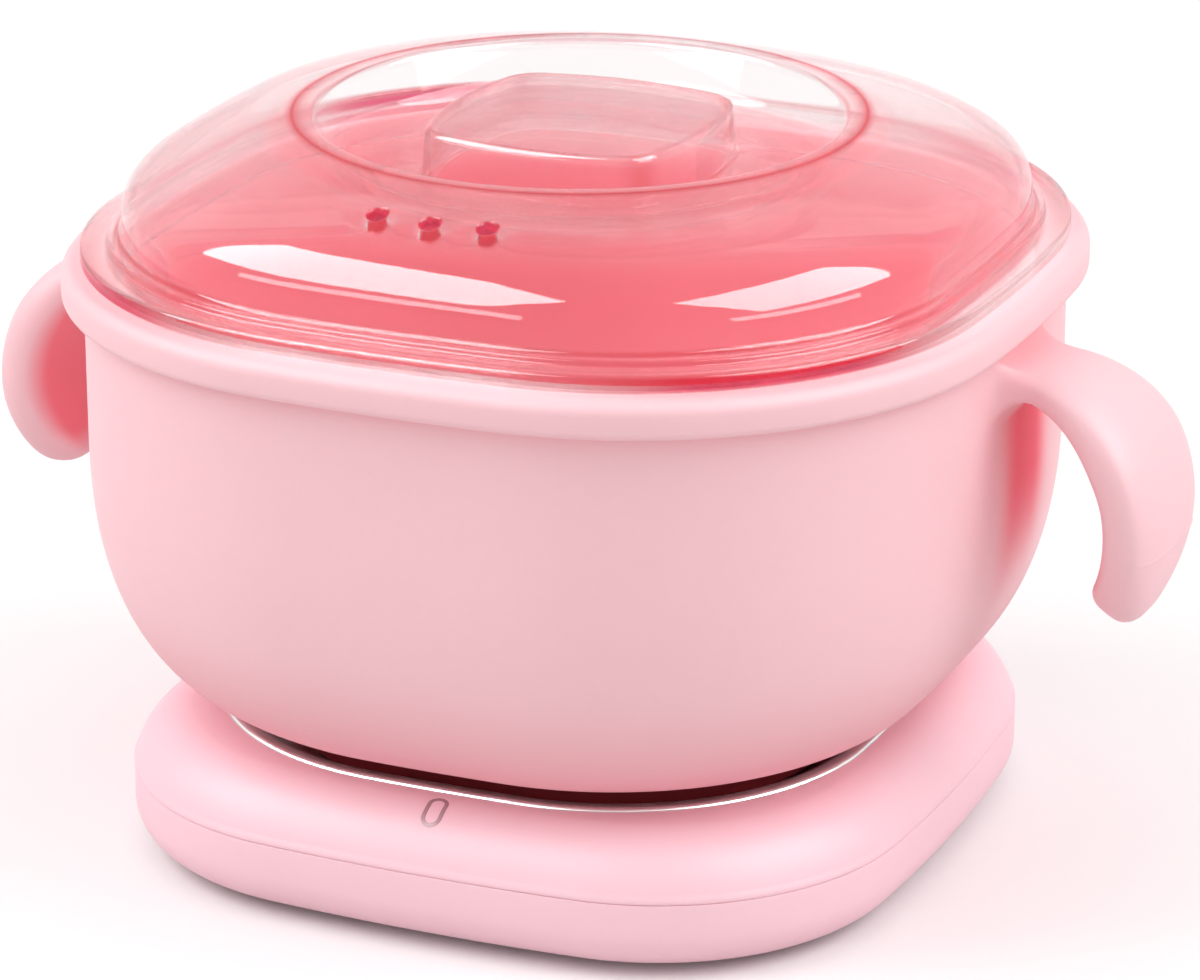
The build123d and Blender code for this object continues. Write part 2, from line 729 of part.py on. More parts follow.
with BuildPart() as sensor_lead:
    tube([(-thermistor_length / 2, thermistor_place, sensor_height), (-20, 10, sensor_height),
          (-35.5, 3, sensor_height), (-36.5, -6, wire_height), (-32, -20, wire_height),
          (sensor_wire_place, board_rear + 4, wire_height),
          (sensor_wire_place, board_rear, wire_height)], sensor_wire_radius)
finish(sensor_lead.part, "sensor_lead")
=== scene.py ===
"""Looks of a candle wax melter: silicone pot with hook ears, clear lid and heated base.

Sizes are in millimetres and a mesh is turned into metres as it is made. +Z is up, the front
with the power mark faces -Y, and the origin is the middle of the footprint on the table.
"""
from math import acos, asin, atan2, cos, hypot, pi, radians, sin, sqrt

import bmesh
import bpy
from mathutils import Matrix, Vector
from mathutils.geometry import interpolate_bezier


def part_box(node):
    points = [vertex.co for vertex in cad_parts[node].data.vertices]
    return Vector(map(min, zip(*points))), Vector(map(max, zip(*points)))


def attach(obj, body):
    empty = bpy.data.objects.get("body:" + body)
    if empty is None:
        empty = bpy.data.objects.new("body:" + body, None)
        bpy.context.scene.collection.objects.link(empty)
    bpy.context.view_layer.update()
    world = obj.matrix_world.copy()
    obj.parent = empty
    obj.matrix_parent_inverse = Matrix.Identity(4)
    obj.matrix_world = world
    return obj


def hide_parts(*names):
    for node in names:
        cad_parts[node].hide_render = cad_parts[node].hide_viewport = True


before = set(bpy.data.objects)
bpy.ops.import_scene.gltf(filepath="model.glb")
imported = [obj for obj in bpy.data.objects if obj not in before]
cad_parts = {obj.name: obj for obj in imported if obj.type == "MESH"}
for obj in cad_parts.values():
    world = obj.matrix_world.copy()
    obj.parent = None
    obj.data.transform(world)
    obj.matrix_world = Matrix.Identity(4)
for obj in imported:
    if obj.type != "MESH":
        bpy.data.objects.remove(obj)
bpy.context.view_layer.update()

# ---------------------------------------------------------------- sizes
MM = 0.001
COLUMNS = 256               # points round a moulding
ROUND_STEPS = 6             # points of a rounded edge
BELLY_STEPS = 36
DOME_STEPS = 32
EAR_LINE_STEPS = 200
HALVINGS = 30               # of the span in which a place on the dome is looked for

# Plan outlines are rounded squares: half size, corner radius, radius of the bulging sides
RIM = (69.97, 55.2, 300.0)
BELLY = (42.0, 35.8, 300.0)
DOME = (62.0, 49.6, 300.0)
CREST = (41.2, 41.2, 41.2)
BASE = (59.6, 37.6, 317.0)
RECESS = (49.2, 38.6, 361.0)
GRIP = (20.4, 6.5, 52.0)

# Pot
rim_overhang = 3.2
pot_wall = 3.5
belly_power = 2.33
belly_top = 62.5
belly_bottom = 22.3
rim_bottom = 82.7
pot_foot_inset = 1.0        # foot of the pot, from the belly's lower edge
well_inset = 5.0            # well over the heat disc, from the belly's lower edge
disc_inset = 4.5
floor_thickness = 1.9
upper_wall = 20.0           # stretch of the inner wall that is divided less finely
mouth_shade_depth = 12.0    # painted shade deepens the inside's colour over this depth
low_belly_shade = 0.60            # painted shade on the lowest part of the belly
low_belly_shade_top = 46.0
low_belly_shade_fade = 26.0
foot_shade_rise = 0.7        # painted shade on the foot ends so far above the belly's lower edge
foot_shade_fade = 1.4

# Ears
ear_line = ((66.3, 77.1), (83.1, 78.6), (94.0, 59.6), (82.2, 43.0))
ear_root_width = 17.2
ear_width = 26.8
ear_root_thickness = 4.2
ear_thickness = 8.2
ear_tongue = 18.0           # length of the tapering end
ear_tip = 4.4               # length over which its thickness rounds off
ear_outer_power = 2.8       # roundness of the outer face; 2 is an ellipse
ear_inner_power = 3.8       # the inner face is flatter, with a crease at its edges
ear_growth = 0.5            # share of its length over which an ear gets its full section
ear_root = 6.0              # length of the part that flows out of the wall
ear_root_rings = 7
ear_root_pull = 1.1         # how strongly the flow keeps to the wall, then to the ear
ear_patch_width = 23.0      # stretch of wall that flows into an ear
ear_patch_bottom = 70.2
ear_patch_top = 82.0
ear_rings = 44
ear_tip_rings = 9
parting_height = 55.0       # where the mould line crosses the outer face
parting_ridge = 0.16
parting_half = 0.22         # half the width of the mould line
parting_hold = 0.45         # rings that keep the face beside it smooth
ear_face_shade = 0.65             # painted shade on the inner face of an ear
ear_face_shade_edge = 0.35        # share of the half width over which it fades at the sides
ear_face_shade_fade = 5.0         # length over which it fades at the tip
wall_shade = 1.0             # painted shade on the wall behind an ear
wall_shade_reach = 12.5
wall_shade_fade = 9.0
wall_shade_shift = 5.5       # anticlockwise from the ear, seen from above
wall_shade_bottom = 37.0
wall_shade_rise = 24.0       # height over which it grows from nothing

# Lid
rest_gap = 0.3              # the lid's flange over the pot's lip
flange_inset = 2.8
flange_thickness = 2.6
bead_inset = 6.6
bead_height = 0.9
dome_power = 0.29           # how early the dome rises: it starts upright and rounds over
lid_wall = 1.8
finger_wall = 1.4
skirt_inset = 7.5
skirt_wall = 1.6
finger_radius = 38.2
finger_floor_radius = 36.0
finger_depth = 8.0
grip_draft = 0.5
grip_pillow = 0.5
vent_radius = 1.45
vent_ring = 50.7
vent_pitch = 8.2
vent_edge = 0.4
vent_cells = 3              # cells opened for a vent, to each side of its middle
reflection_reach = 1.5            # an edge's painted reflection ends at this many times its spread
recess_underside = 0.4      # share of the underside's finish in the finger recess
recess_clearer = 0.15       # share by which the recess's wall is clearer than the dome
grip_corner_reflection = 0.55     # painted reflection of the pot's colour at the corners of the grip

# Base
base_shoulder = 9.9
base_heel = 6.0
seam_height = 12.0
seam_gap = 0.08
seam_edge = 0.12
shell_wall = 2.2
recess_wall = 1.6
ledge_width = 6.0
ledge_thickness = 1.6
plate_clearance = 0.3
plate_thickness = 1.6
plate_bead_reach = 0.65     # rounded bead of the plate, over the edge of the recess
plate_bead_rise = 0.5
mark_length = 5.6
mark_width = 3.1
mark_stroke = 0.6
mark_lift = 0.06
mark_slope = 0.86           # the loop's length seen from above
lip_wall = 1.1
lip_height = 1.0
lip_gap = 0.4
lip_depth = 1.4             # how far the lip's root goes down the wall
seal_thickness = 0.8
foot_width = 13.0
foot_rib_pitch = 1.35
foot_rib_count = 4
inlet_play = 0.15           # opening for the mains inlet, over the inlet's own size
inlet_reach_in = 5.4        # how far the opening reaches in from the inlet's face
inlet_reach_out = 6.0

# Stage, in metres
LAMP_DISTANCE = 1.1
LAMP_AIM = 0.05             # height that the lamps look at
FLOOR_REACH = 4.0
FLOOR_FADE = (0.2, 0.6)     # the floor turns to plain white between these distances
AMBIENCE = 0.8


def low(node):
    """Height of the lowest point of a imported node, in millimetres."""
    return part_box(node)[0].z / MM


def high(node):
    """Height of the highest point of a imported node, in millimetres."""
    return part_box(node)[1].z / MM


pot_bottom = low("wax_pot")
rim_top = high("wax_pot")
disc_top = high("pot_heat_disc")
lid_bottom = low("lid")
crest_height = high("lid")
flange_bottom = rim_top + rest_gap
flange_top = flange_bottom + flange_thickness
dome_foot = flange_top + bead_height
base_bottom = low("base_cover")
base_top = high("base_shell")
ledge_top = low("plate_seal")
plate_bottom = ledge_top + seal_thickness
plate_top = plate_bottom + plate_thickness


# ---------------------------------------------------------------- outlines and levels
def grown(plan, distance):
    """A plan outline moved outwards."""
    return tuple(size + distance for size in plan)


def blend(first, last, share):
    """A plan outline between two others."""
    return tuple(a + (b - a) * share for a, b in zip(first, last))


def reach(plan, angle):
    """Distance from the middle to a plan outline in a direction."""
    half, corner, bulge = plan
    fold = abs((angle + pi / 4) % (pi / 2) - pi / 4)
    side = half - bulge
    knee = (side + sqrt(max(0.0, 2 * (bulge - corner) ** 2 - side ** 2))) / 2
    spread = atan2(knee, knee - side)
    if fold <= atan2(bulge * sin(spread), side + bulge * cos(spread)):
        return side * cos(fold) + sqrt(bulge ** 2 - (side * sin(fold)) ** 2)
    lean = knee * (cos(fold) + sin(fold))
    return lean + sqrt(corner ** 2 - (knee * (cos(fold) - sin(fold))) ** 2)


def ring_points(plan, height):
    """Points of a plan outline at a height, anticlockwise seen from above, starting at +X."""
    points = []
    for column in range(COLUMNS):
        angle = 2 * pi * column / COLUMNS
        far = reach(plan, angle)
        points.append(Vector((far * cos(angle), far * sin(angle), height)))
    return points


def softened(corners, steps=ROUND_STEPS):
    """Levels (plan, height) through corners (plan, height, radius), each corner rounded off."""
    flat = [(*plan, height) for plan, height, radius in corners]
    levels = [(corners[0][0], corners[0][1])]
    for before, here, after, corner in zip(flat, flat[1:], flat[2:], corners[1:]):
        radius = corner[2]
        back = Vector((before[0] - here[0], before[3] - here[3]))
        on = Vector((after[0] - here[0], after[3] - here[3]))
        half_angle = back.angle(on) / 2
        trim = radius * cos(half_angle) / sin(half_angle)
        start = [a + (b - a) * trim / back.length for a, b in zip(here, before)]
        end = [a + (b - a) * trim / on.length for a, b in zip(here, after)]
        weight = sin(half_angle)
        for step in range(steps + 1 if radius else 1):
            t = step / steps
            parts = ((1 - t) ** 2, 2 * t * (1 - t) * weight, t ** 2)
            total = sum(parts)
            point = [(a * parts[0] + p * parts[1] + b * parts[2]) / total
                     for a, p, b in zip(start, here, end)]
            levels.append((tuple(point[:3]), point[3]))
    levels.append((corners[-1][0], corners[-1][1]))
    return levels


def straight(first, last, steps):
    """Levels evenly spaced between two, without the two themselves."""
    return [(blend(first[0], last[0], step / steps),
             first[1] + (last[1] - first[1]) * step / steps) for step in range(1, steps)]


def shrunk(plan, share):
    """A plan outline made smaller towards its middle."""
    return tuple(size * share for size in plan)


def disc_levels(edge, steps):
    """Levels from the middle of a flat face out to its edge, without the edge itself."""
    plan, height = edge
    return [(shrunk(plan, step / steps), height) for step in range(1, steps)]


class Skin:
    """A closed mesh in the making: rings of points joined ring to ring, with openings."""

    def __init__(self):
        self.points = []
        self.rings = []
        self.cells = {}
        self.extra = []
        self.marks = {}

    def mark(self, name, indices, share):
        """Note a share from 0 to 1 on points, for the finish to read by name."""
        for index in indices:
            self.marks.setdefault(name, {})[index] = share

    def add(self, points):
        """Indices of new points."""
        start = len(self.points)
        self.points += points
        return list(range(start, len(self.points)))

    def levels(self, levels):
        """Rings for all levels, joined in order, their outside on the right of the way they go."""
        for plan, height in levels:
            self.rings.append(self.add(ring_points(plan, height)))
        for row, (lower, upper) in enumerate(zip(self.rings, self.rings[1:])):
            for column in range(COLUMNS):
                onward = (column + 1) % COLUMNS
                self.cells[row, column] = (lower[column], lower[onward],
                                           upper[onward], upper[column])

    def join_ends(self):
        """Join the last ring to the first, for a tube that runs all round."""
        self.bridge(self.rings[-1], self.rings[0])

    def close_start(self, height):
        """Close the first ring with a fan round its middle."""
        middle = self.add([Vector((0, 0, height))])[0]
        ring = self.rings[0]
        self.extra += [(middle, ring[(k + 1) % COLUMNS], ring[k]) for k in range(COLUMNS)]

    def close_end(self, height):
        """Close the last ring with a fan round its middle."""
        middle = self.add([Vector((0, 0, height))])[0]
        ring = self.rings[-1]
        self.extra += [(middle, ring[k], ring[(k + 1) % COLUMNS]) for k in range(COLUMNS)]

    def bridge(self, first, last):
        """Join two loops of as many points."""
        count = len(first)
        for k in range(count):
            self.extra.append((first[k], first[(k + 1) % count], last[(k + 1) % count], last[k]))

    def open_block(self, first_row, last_row, first_column, last_column):
        """Take out a block of cells and return the loop of points round it."""
        for row in range(first_row, last_row):
            for column in range(first_column, last_column):
                del self.cells[row, column % COLUMNS]
        loop = [(first_row, column) for column in range(first_column, last_column)]
        loop += [(row, last_column) for row in range(first_row, last_row)]
        loop += [(last_row, column) for column in range(last_column, first_column, -1)]
        loop += [(row, first_column) for row in range(last_row, first_row, -1)]
        return [self.rings[row][column % COLUMNS] for row, column in loop]

    def made(self, name):
        """The finished object, in metres, with smooth faces."""
        mesh = bpy.data.meshes.new(name)
        faces = list(self.cells.values()) + self.extra
        used = sorted({index for face in faces for index in face})
        place = {index: k for k, index in enumerate(used)}
        mesh.from_pydata([self.points[index] * MM for index in used], [],
                         [tuple(place[index] for index in face) for face in faces])
        for mark, shares in self.marks.items():
            layer = mesh.attributes.new(mark, "FLOAT", "POINT")
            layer.data.foreach_set("value", [shares.get(index, 0.0) for index in used])
        return shown(name, mesh)


def shown(name, mesh):
    """Object of a mesh in the scene, with smooth faces."""
    mesh.shade_smooth()
    piece = bpy.data.objects.new(name, mesh)
    bpy.context.scene.collection.objects.link(piece)
    return piece


def nearest_row(levels, size, first, last):
    """Index of the level between two indices whose half size is nearest to a size."""
    return min(range(first, last), key=lambda row: abs(levels[row][0][0] - size))


# ---------------------------------------------------------------- pot
def belly_levels(inset):
    """Superellipse of the belly from its lower edge up to the straight wall."""
    wall = grown(RIM, -rim_overhang)
    levels = []
    for step in range(BELLY_STEPS, -1, -1):
        turn = pi / 2 * step / BELLY_STEPS
        inward = 1 - cos(turn) ** (2 / belly_power)
        down = sin(turn) ** (2 / belly_power)
        levels.append((grown(blend(wall, BELLY, inward), -inset),
                       belly_top - down * (belly_top - belly_bottom - inset)))
    return levels


def ear_places():
    """Points (x, z) along an ear's middle line, and the length of the line up to each."""
    ends = [Vector((x, z, 0)) for x, z in ear_line]
    fine = interpolate_bezier(*ends, EAR_LINE_STEPS)
    run = [0.0]
    for a, b in zip(fine, fine[1:]):
        run.append(run[-1] + (b - a).length)
    return fine, run


def on_line(fine, run, distance):
    """Point and direction on the middle line at a distance from its start."""
    k = min(sum(length < distance for length in run), len(run) - 1)
    k = max(k, 1)
    share = (distance - run[k - 1]) / (run[k] - run[k - 1])
    return fine[k - 1].lerp(fine[k], share), (fine[k] - fine[k - 1]).normalized()


def smooth_step(value):
    """Soft ramp from 0 to 1."""
    value = min(max(value, 0.0), 1.0)
    return value * value * (3 - 2 * value)


def cornering(column):
    """Place of a column round a square outline: 0 in the middle of a side, 1 at a corner."""
    return abs((8 * column / COLUMNS + 1) % 2 - 1)


def rounding(distance, length, total):
    """Share of the full size that is left towards the end of an ear."""
    left = total - distance
    if left >= length:
        return 1.0
    return sqrt(max(0.0, 1 - (1 - left / length) ** 2))


def add_ear(skin, edge, turn):
    """Grow an ear out of the opened wall. turn is the direction that it points in."""
    away = Vector((cos(turn), sin(turn), 0))
    across = Vector((-sin(turn), cos(turn), 0))
    fine, run = ear_places()
    total = run[-1]
    middle = (ear_patch_bottom + ear_patch_top) / 2

    def bearing(index):
        point = skin.points[index]
        return atan2((point.z - middle) / (ear_patch_top - middle),
                     point.dot(across) / (ear_patch_width / 2))

    loop = edge
    bearings = [bearing(index) for index in loop]

    def section(distance, lift=0.0):
        place, way = on_line(fine, run, distance)
        grow = smooth_step(distance / (total * ear_growth))
        width = (ear_root_width + (ear_width - ear_root_width) * grow) / 2
        thick = (ear_root_thickness + (ear_thickness - ear_root_thickness) * grow) / 2
        width *= rounding(distance, ear_tongue, total)
        thick *= rounding(distance, ear_tip, total)
        points = []
        for angle in bearings:
            power = ear_outer_power if sin(angle) > 0 else ear_inner_power
            side = abs(cos(angle)) ** (2 / power) * (1 if cos(angle) > 0 else -1)
            rise = abs(sin(angle)) ** (2 / power) * (1 if sin(angle) > 0 else -1)
            out = rise * thick + lift * max(0.0, sin(angle)) ** 0.5
            points.append(away * (place.x - way.y * out) + across * (side * width)
                          + Vector((0, 0, place.y + way.x * out)))
        return points, away * way.x + Vector((0, 0, way.y))

    # Painted shade on the inner face of an ear, fading at its sides and towards the tip
    def inner_face_shade(angle, distance):
        if sin(angle) >= 0:
            return 0.0
        side = abs(cos(angle)) ** (2 / ear_inner_power)
        return (ear_face_shade * smooth_step((1 - side) / ear_face_shade_edge)
                * smooth_step((total - distance) / ear_face_shade_fade))

    first, way = section(ear_root)
    previous = loop
    for step in range(1, ear_root_rings):
        t = step / ear_root_rings
        ring = []
        for index, goal in zip(loop, first):
            start = skin.points[index]
            gap = goal - start
            inward = gap - away * gap.dot(away)
            lean = inward.normalized() * gap.length * ear_root_pull
            push = way * gap.length * ear_root_pull
            h00, h10 = 2 * t ** 3 - 3 * t ** 2 + 1, t ** 3 - 2 * t ** 2 + t
            h01, h11 = -2 * t ** 3 + 3 * t ** 2, t ** 3 - t ** 2
            ring.append(start * h00 + lean * h10 + goal * h01 + push * h11)
        ring = skin.add(ring)
        for angle, index in zip(bearings, ring):
            skin.mark("glow", [index], inner_face_shade(angle, ear_root) * t)
        skin.bridge(previous, ring)
        previous = ring
    stops = [ear_root + (total - ear_tip - ear_root) * k / ear_rings
             for k in range(ear_rings + 1)]
    stops += [total - ear_tip * (1 - sin(pi / 2 * k / ear_tip_rings))
              for k in range(1, ear_tip_rings)]
    crossing = next(d for d in stops if on_line(fine, run, d)[0].y < parting_height)
    stops = sorted(stops + [crossing - parting_hold, crossing - parting_half,
                            crossing + parting_half, crossing + parting_hold])
    for stop in stops:
        lift = parting_ridge if stop == crossing else 0.0
        ring = skin.add(section(stop, lift)[0])
        for angle, index in zip(bearings, ring):
            skin.mark("glow", [index], inner_face_shade(angle, stop))
        skin.bridge(previous, ring)
        previous = ring
    end = skin.add([away * fine[-1].x + Vector((0, 0, fine[-1].y))])[0]
    skin.extra += [(end, previous[k], previous[(k + 1) % len(previous)])
                   for k in range(len(previous))]


def make_pot():
    """The silicone pot: foot, belly, turned lip and two hook ears, in one moulding."""
    wall = grown(RIM, -rim_overhang)
    mouth = grown(wall, -pot_wall)
    foot = grown(BELLY, -pot_foot_inset)
    pocket = grown(BELLY, -disc_inset)
    well = grown(BELLY, -well_inset)
    outer_belly = belly_levels(0)
    inner_belly = belly_levels(pot_wall)[::-1]
    well_floor = disc_top + floor_thickness
    upper_wall_foot = belly_top + upper_wall
    patch_rows = 8
    levels = disc_levels((pocket, disc_top), 4)
    levels += softened([(pocket, disc_top, 0), (pocket, pot_bottom, 0.4), (foot, pot_bottom, 0.9),
                        (foot, belly_bottom, 0.8), outer_belly[1] + (0,)], 4)
    levels += outer_belly[2:]
    levels += straight((wall, belly_top), (wall, ear_patch_bottom), 5)
    first_row = len(levels)
    levels.append((wall, ear_patch_bottom))
    levels += straight((wall, ear_patch_bottom), (wall, ear_patch_top), patch_rows)
    levels += softened([(wall, ear_patch_top, 0), (wall, rim_bottom, 0.5), (RIM, rim_bottom, 1.3),
                        (RIM, rim_top, 2.0), (mouth, rim_top, 0.9), (mouth, upper_wall_foot, 0)])
    inner_start = len(levels) - ROUND_STEPS
    levels += straight((mouth, upper_wall_foot), (mouth, belly_top), 6)
    levels += inner_belly[:-1]
    inner_edge = inner_belly[-1]
    levels += softened([inner_belly[-2] + (0,), (blend(well, inner_edge[0], 0.3), inner_edge[1], 1.2),
                        (well, well_floor, 2.4), (shrunk(well, 0.8), well_floor, 0)])[1:]
    levels += [(shrunk(well, share), well_floor) for share in (0.6, 0.4, 0.2)]

    skin = Skin()
    skin.levels(levels)
    skin.close_start(disc_top)
    skin.close_end(well_floor)
    for row, ((plan, height), ring) in enumerate(zip(levels, skin.rings)):
        if row < inner_start:
            # Painted shade: deeper colour low on the belly
            low_share = smooth_step((low_belly_shade_top - height) / low_belly_shade_fade)
            skin.mark("depth", ring, low_belly_shade * low_share)
            # Painted shade: the foot turns dark where it stands in the gap over the base
            foot_shade_share = smooth_step((belly_bottom + foot_shade_rise - height) / foot_shade_fade)
            skin.mark("foot", ring, foot_shade_share)
            # Painted shade on the wall behind each ear
            glow = wall_shade * smooth_step((height - wall_shade_bottom) / wall_shade_rise)
            for index in ring if wall_shade_bottom < height < ear_patch_bottom + 1 else ():
                point = skin.points[index]
                away = abs(point.y - (wall_shade_shift if point.x > 0 else -wall_shade_shift))
                if away < wall_shade_reach:
                    near = smooth_step((wall_shade_reach - away) / wall_shade_fade)
                    skin.mark("glow", [index], glow * near if abs(point.x) > RIM[0] / 2 else 0.0)
        else:
            # Painted shade: the inside deepens in colour from the lip downwards
            skin.mark("depth", ring, smooth_step((rim_top - height) / mouth_shade_depth))
    half_columns = round(asin(ear_patch_width / 2 / wall[0]) / (2 * pi / COLUMNS))
    for column, turn in ((0, 0.0), (COLUMNS // 2, pi)):
        edge = skin.open_block(first_row, first_row + patch_rows,
                               column - half_columns, column + half_columns)
        add_ear(skin, edge, turn)
    return skin.made("pot_body")


# ---------------------------------------------------------------- lid
def dome_level(share, inset):
    """Level of the dome, or of its inside, from its upright foot (0) to the crest (1)."""
    fall = share ** 3
    rise = crest_height - dome_foot - inset
    return grown(blend(DOME, CREST, fall), -inset), dome_foot + rise * fall ** dome_power


def dome_point(x, y, inset):
    """Point of the dome, or of its inside, above a place."""
    angle, far = atan2(y, x), hypot(x, y)
    near, crest = 0.0, 1.0
    for _ in range(HALVINGS):
        share = (near + crest) / 2
        if reach(dome_level(share, inset)[0], angle) > far:
            near = share
        else:
            crest = share
    return Vector((x, y, dome_level(near, inset)[1]))


def add_vent(skin, levels, outer_rows, inner_rows, x, y):
    """Bore a vent with softened edges through the dome."""
    angle = atan2(y, x)
    column = round(angle / (2 * pi / COLUMNS))
    loops = []
    for rows in (outer_rows, inner_rows):
        row = nearest_row(levels, hypot(x, y), *rows)
        loops.append(skin.open_block(row - vent_cells, row + vent_cells,
                                     column - vent_cells, column + vent_cells))
    outer, inner = loops

    # The rows of the two faces run opposite ways, so one loop is turned to lie over the other
    inner = inner[::-1]
    corner = skin.points[outer[0]]
    start = min(range(len(inner)), key=lambda k: (skin.points[inner[k]] - corner).length)
    inner = inner[start:] + inner[:start]
    bearings = [atan2(skin.points[index].y - y, skin.points[index].x - x) for index in outer]
    previous = outer
    for radius, inset, drop in ((vent_radius + 2 * vent_edge, 0.0, 0.0),
                                (vent_radius + vent_edge, 0.0, 0.0),
                                (vent_radius + 0.1, 0.0, 0.1), (vent_radius, 0.0, vent_edge),
                                (vent_radius, lid_wall, -vent_edge),
                                (vent_radius + 0.1, lid_wall, -0.1),
                                (vent_radius + vent_edge, lid_wall, 0.0)):
        ring = []
        for bearing in bearings:
            point = dome_point(x + radius * cos(bearing), y + radius * sin(bearing), inset)
            ring.append(point - Vector((0, 0, drop)))
        ring = skin.add(ring)
        # Painted reflection of the pot's colour on the bore of the vent
        skin.mark("edge", ring, 1.0 if radius < vent_radius + vent_edge else 0.0)
        skin.bridge(previous, ring)
        previous = ring
    skin.bridge(previous, inner)


def make_lid():
    """The clear lid: skirt, flange, bead, dome, finger recess with its grip, and three vents."""
    flange = grown(RIM, -flange_inset)
    bead = grown(RIM, -bead_inset)
    skirt = grown(RIM, -skirt_inset)
    skirt_inside = grown(skirt, -skirt_wall)
    dome_inside = grown(DOME, -lid_wall)
    finger_floor = crest_height - finger_depth
    grip_inside = grown(GRIP, -finger_wall)
    grip_top = grown(GRIP, -grip_draft)

    def circle(radius):
        return (radius, radius, radius)

    under_top = crest_height - finger_wall
    levels = disc_levels((grip_inside, under_top), 5)
    levels += softened([(shrunk(grip_inside, 0.9), under_top, 0), (grip_inside, under_top, 1.2),
                        (grip_inside, finger_floor - finger_wall, 0.8),
                        (circle(finger_floor_radius + finger_wall), finger_floor - finger_wall, 3.6),
                        (circle(finger_radius + finger_wall), under_top - 0.5, 0.6),
                        dome_level(0.94, lid_wall) + (0,)])
    inner_rows = [len(levels)]
    levels += [dome_level(share / DOME_STEPS, lid_wall) for share in range(DOME_STEPS - 3, 0, -1)]
    inner_rows.append(len(levels))
    levels += softened([(dome_inside, dome_foot - 0.5, 0), (dome_inside, flange_bottom + 0.3, 0.3),
                        (skirt_inside, flange_bottom - 0.3, 0.3), (skirt_inside, lid_bottom, 0.4),
                        (skirt, lid_bottom, 0.4), (skirt, flange_bottom, 0.35),
                        (flange, flange_bottom, 0.6), (flange, flange_top, 0.7),
                        (grown(flange, -1.1), flange_top, 0), (grown(bead, 0.7), flange_top, 0),
                        (bead, flange_top, 0.35), (bead, dome_foot, 0.4),
                        (DOME, dome_foot, 0.9), (DOME, dome_foot + 1.4, 0)])
    outer_rows = [len(levels)]
    levels += [dome_level(share / DOME_STEPS, 0) for share in range(3, DOME_STEPS - 1)]
    outer_rows.append(len(levels))
    levels += softened([dome_level(0.98, 0) + (0,), (CREST, crest_height, 0.6),
                        (circle(finger_radius), crest_height, 1.1),
                        (circle(finger_radius - 0.4), crest_height - 1.6, 0),
                        (circle(finger_floor_radius), finger_floor, 3.6),
                        (GRIP, finger_floor, 0.9), (grip_top, crest_height - grip_pillow, 1.2),
                        (shrunk(grip_top, 0.8), crest_height - 0.4, 0)])
    levels += [(shrunk(grip_top, share), crest_height - 0.4 * share ** 2)
               for share in (0.7, 0.6, 0.5, 0.4, 0.3, 0.2, 0.1)]

    # Edges that take a painted reflection of the pot's colour: half size, height, strength at
    #     the corners, strength in the middle of the sides, and spread of each
    edges = ((flange[0], flange_bottom + 1.3, 1.0, 0.4, 1.4),
             (bead[0], flange_top + 0.5, 0.6, 0.4, 0.5),
             (bead[0] + 2, flange_top, 0.35, 0.15, 2.2),
             (DOME[0], dome_foot, 0.9, 0.6, 0.6),
             (CREST[0], crest_height, 1.0, 1.0, 0.8),
             (finger_radius, crest_height, 0.6, 0.6, 0.5),
             (finger_floor_radius, finger_floor, 0.2, 0.2, 1.2),
             (GRIP[0], finger_floor, 0.5, 0.5, 0.7),
             (grip_top[0], crest_height - 0.5, 0.1, 0.1, 0.9))
    recess_wall_start = finger_floor_radius - 2
    flange_rows = 48
    skin = Skin()
    skin.levels(levels)
    skin.close_start(under_top)
    skin.close_end(crest_height)
    for ring in skin.rings[:inner_rows[1]]:
        skin.mark("underside", ring, 1.0)
    for (plan, height), ring in zip(levels, skin.rings[:inner_rows[0]]):
        if plan[0] > recess_wall_start:
            skin.mark("clearer", ring, 1.0)
    for (plan, height), ring in list(zip(levels, skin.rings))[outer_rows[0] - flange_rows:]:
        near = []
        for half, level, corner, middle, spread in edges:
            apart = hypot(plan[0] - half, height - level) / spread
            near.append((smooth_step(reflection_reach - apart), corner, middle))
        for column, index in enumerate(ring):
            turned = smooth_step((cornering(column) - 0.2) / 0.6)
            skin.mark("edge", [index], max(share * (middle + (corner - middle) * turned)
                                           for share, corner, middle in near))
    for (plan, height), ring in list(zip(levels, skin.rings))[outer_rows[1]:]:
        if height < crest_height - 1.5 and plan[0] > GRIP[0] + 1:
            skin.mark("underside", ring, recess_underside)
            if plan[0] > recess_wall_start:
                skin.mark("clearer", ring, recess_clearer)
        # Painted reflection of the pot's colour on the corners of the grip
        if finger_floor + 0.5 < height < crest_height - 0.6 and plan[0] < GRIP[0] + 0.5:
            for column, index in enumerate(ring):
                turned = smooth_step(cornering(column) * 4 - 3)
                skin.mark("edge", [index], grip_corner_reflection * turned)
    for step in (-1, 0, 1):
        x = step * vent_pitch
        add_vent(skin, levels, outer_rows, inner_rows, x, -sqrt(vent_ring ** 2 - x ** 2))
    return skin.made("clear_lid")


# ---------------------------------------------------------------- base
def arc_levels(plan, height, radius, first, last, steps=16):
    """Levels on a round whose centre lies inside the plan by its radius, between two angles."""
    levels = []
    for step in range(steps + 1):
        turn = radians(first + (last - first) * step / steps)
        levels.append((grown(plan, radius * (cos(turn) - 1)), height + radius * sin(turn)))
    return levels


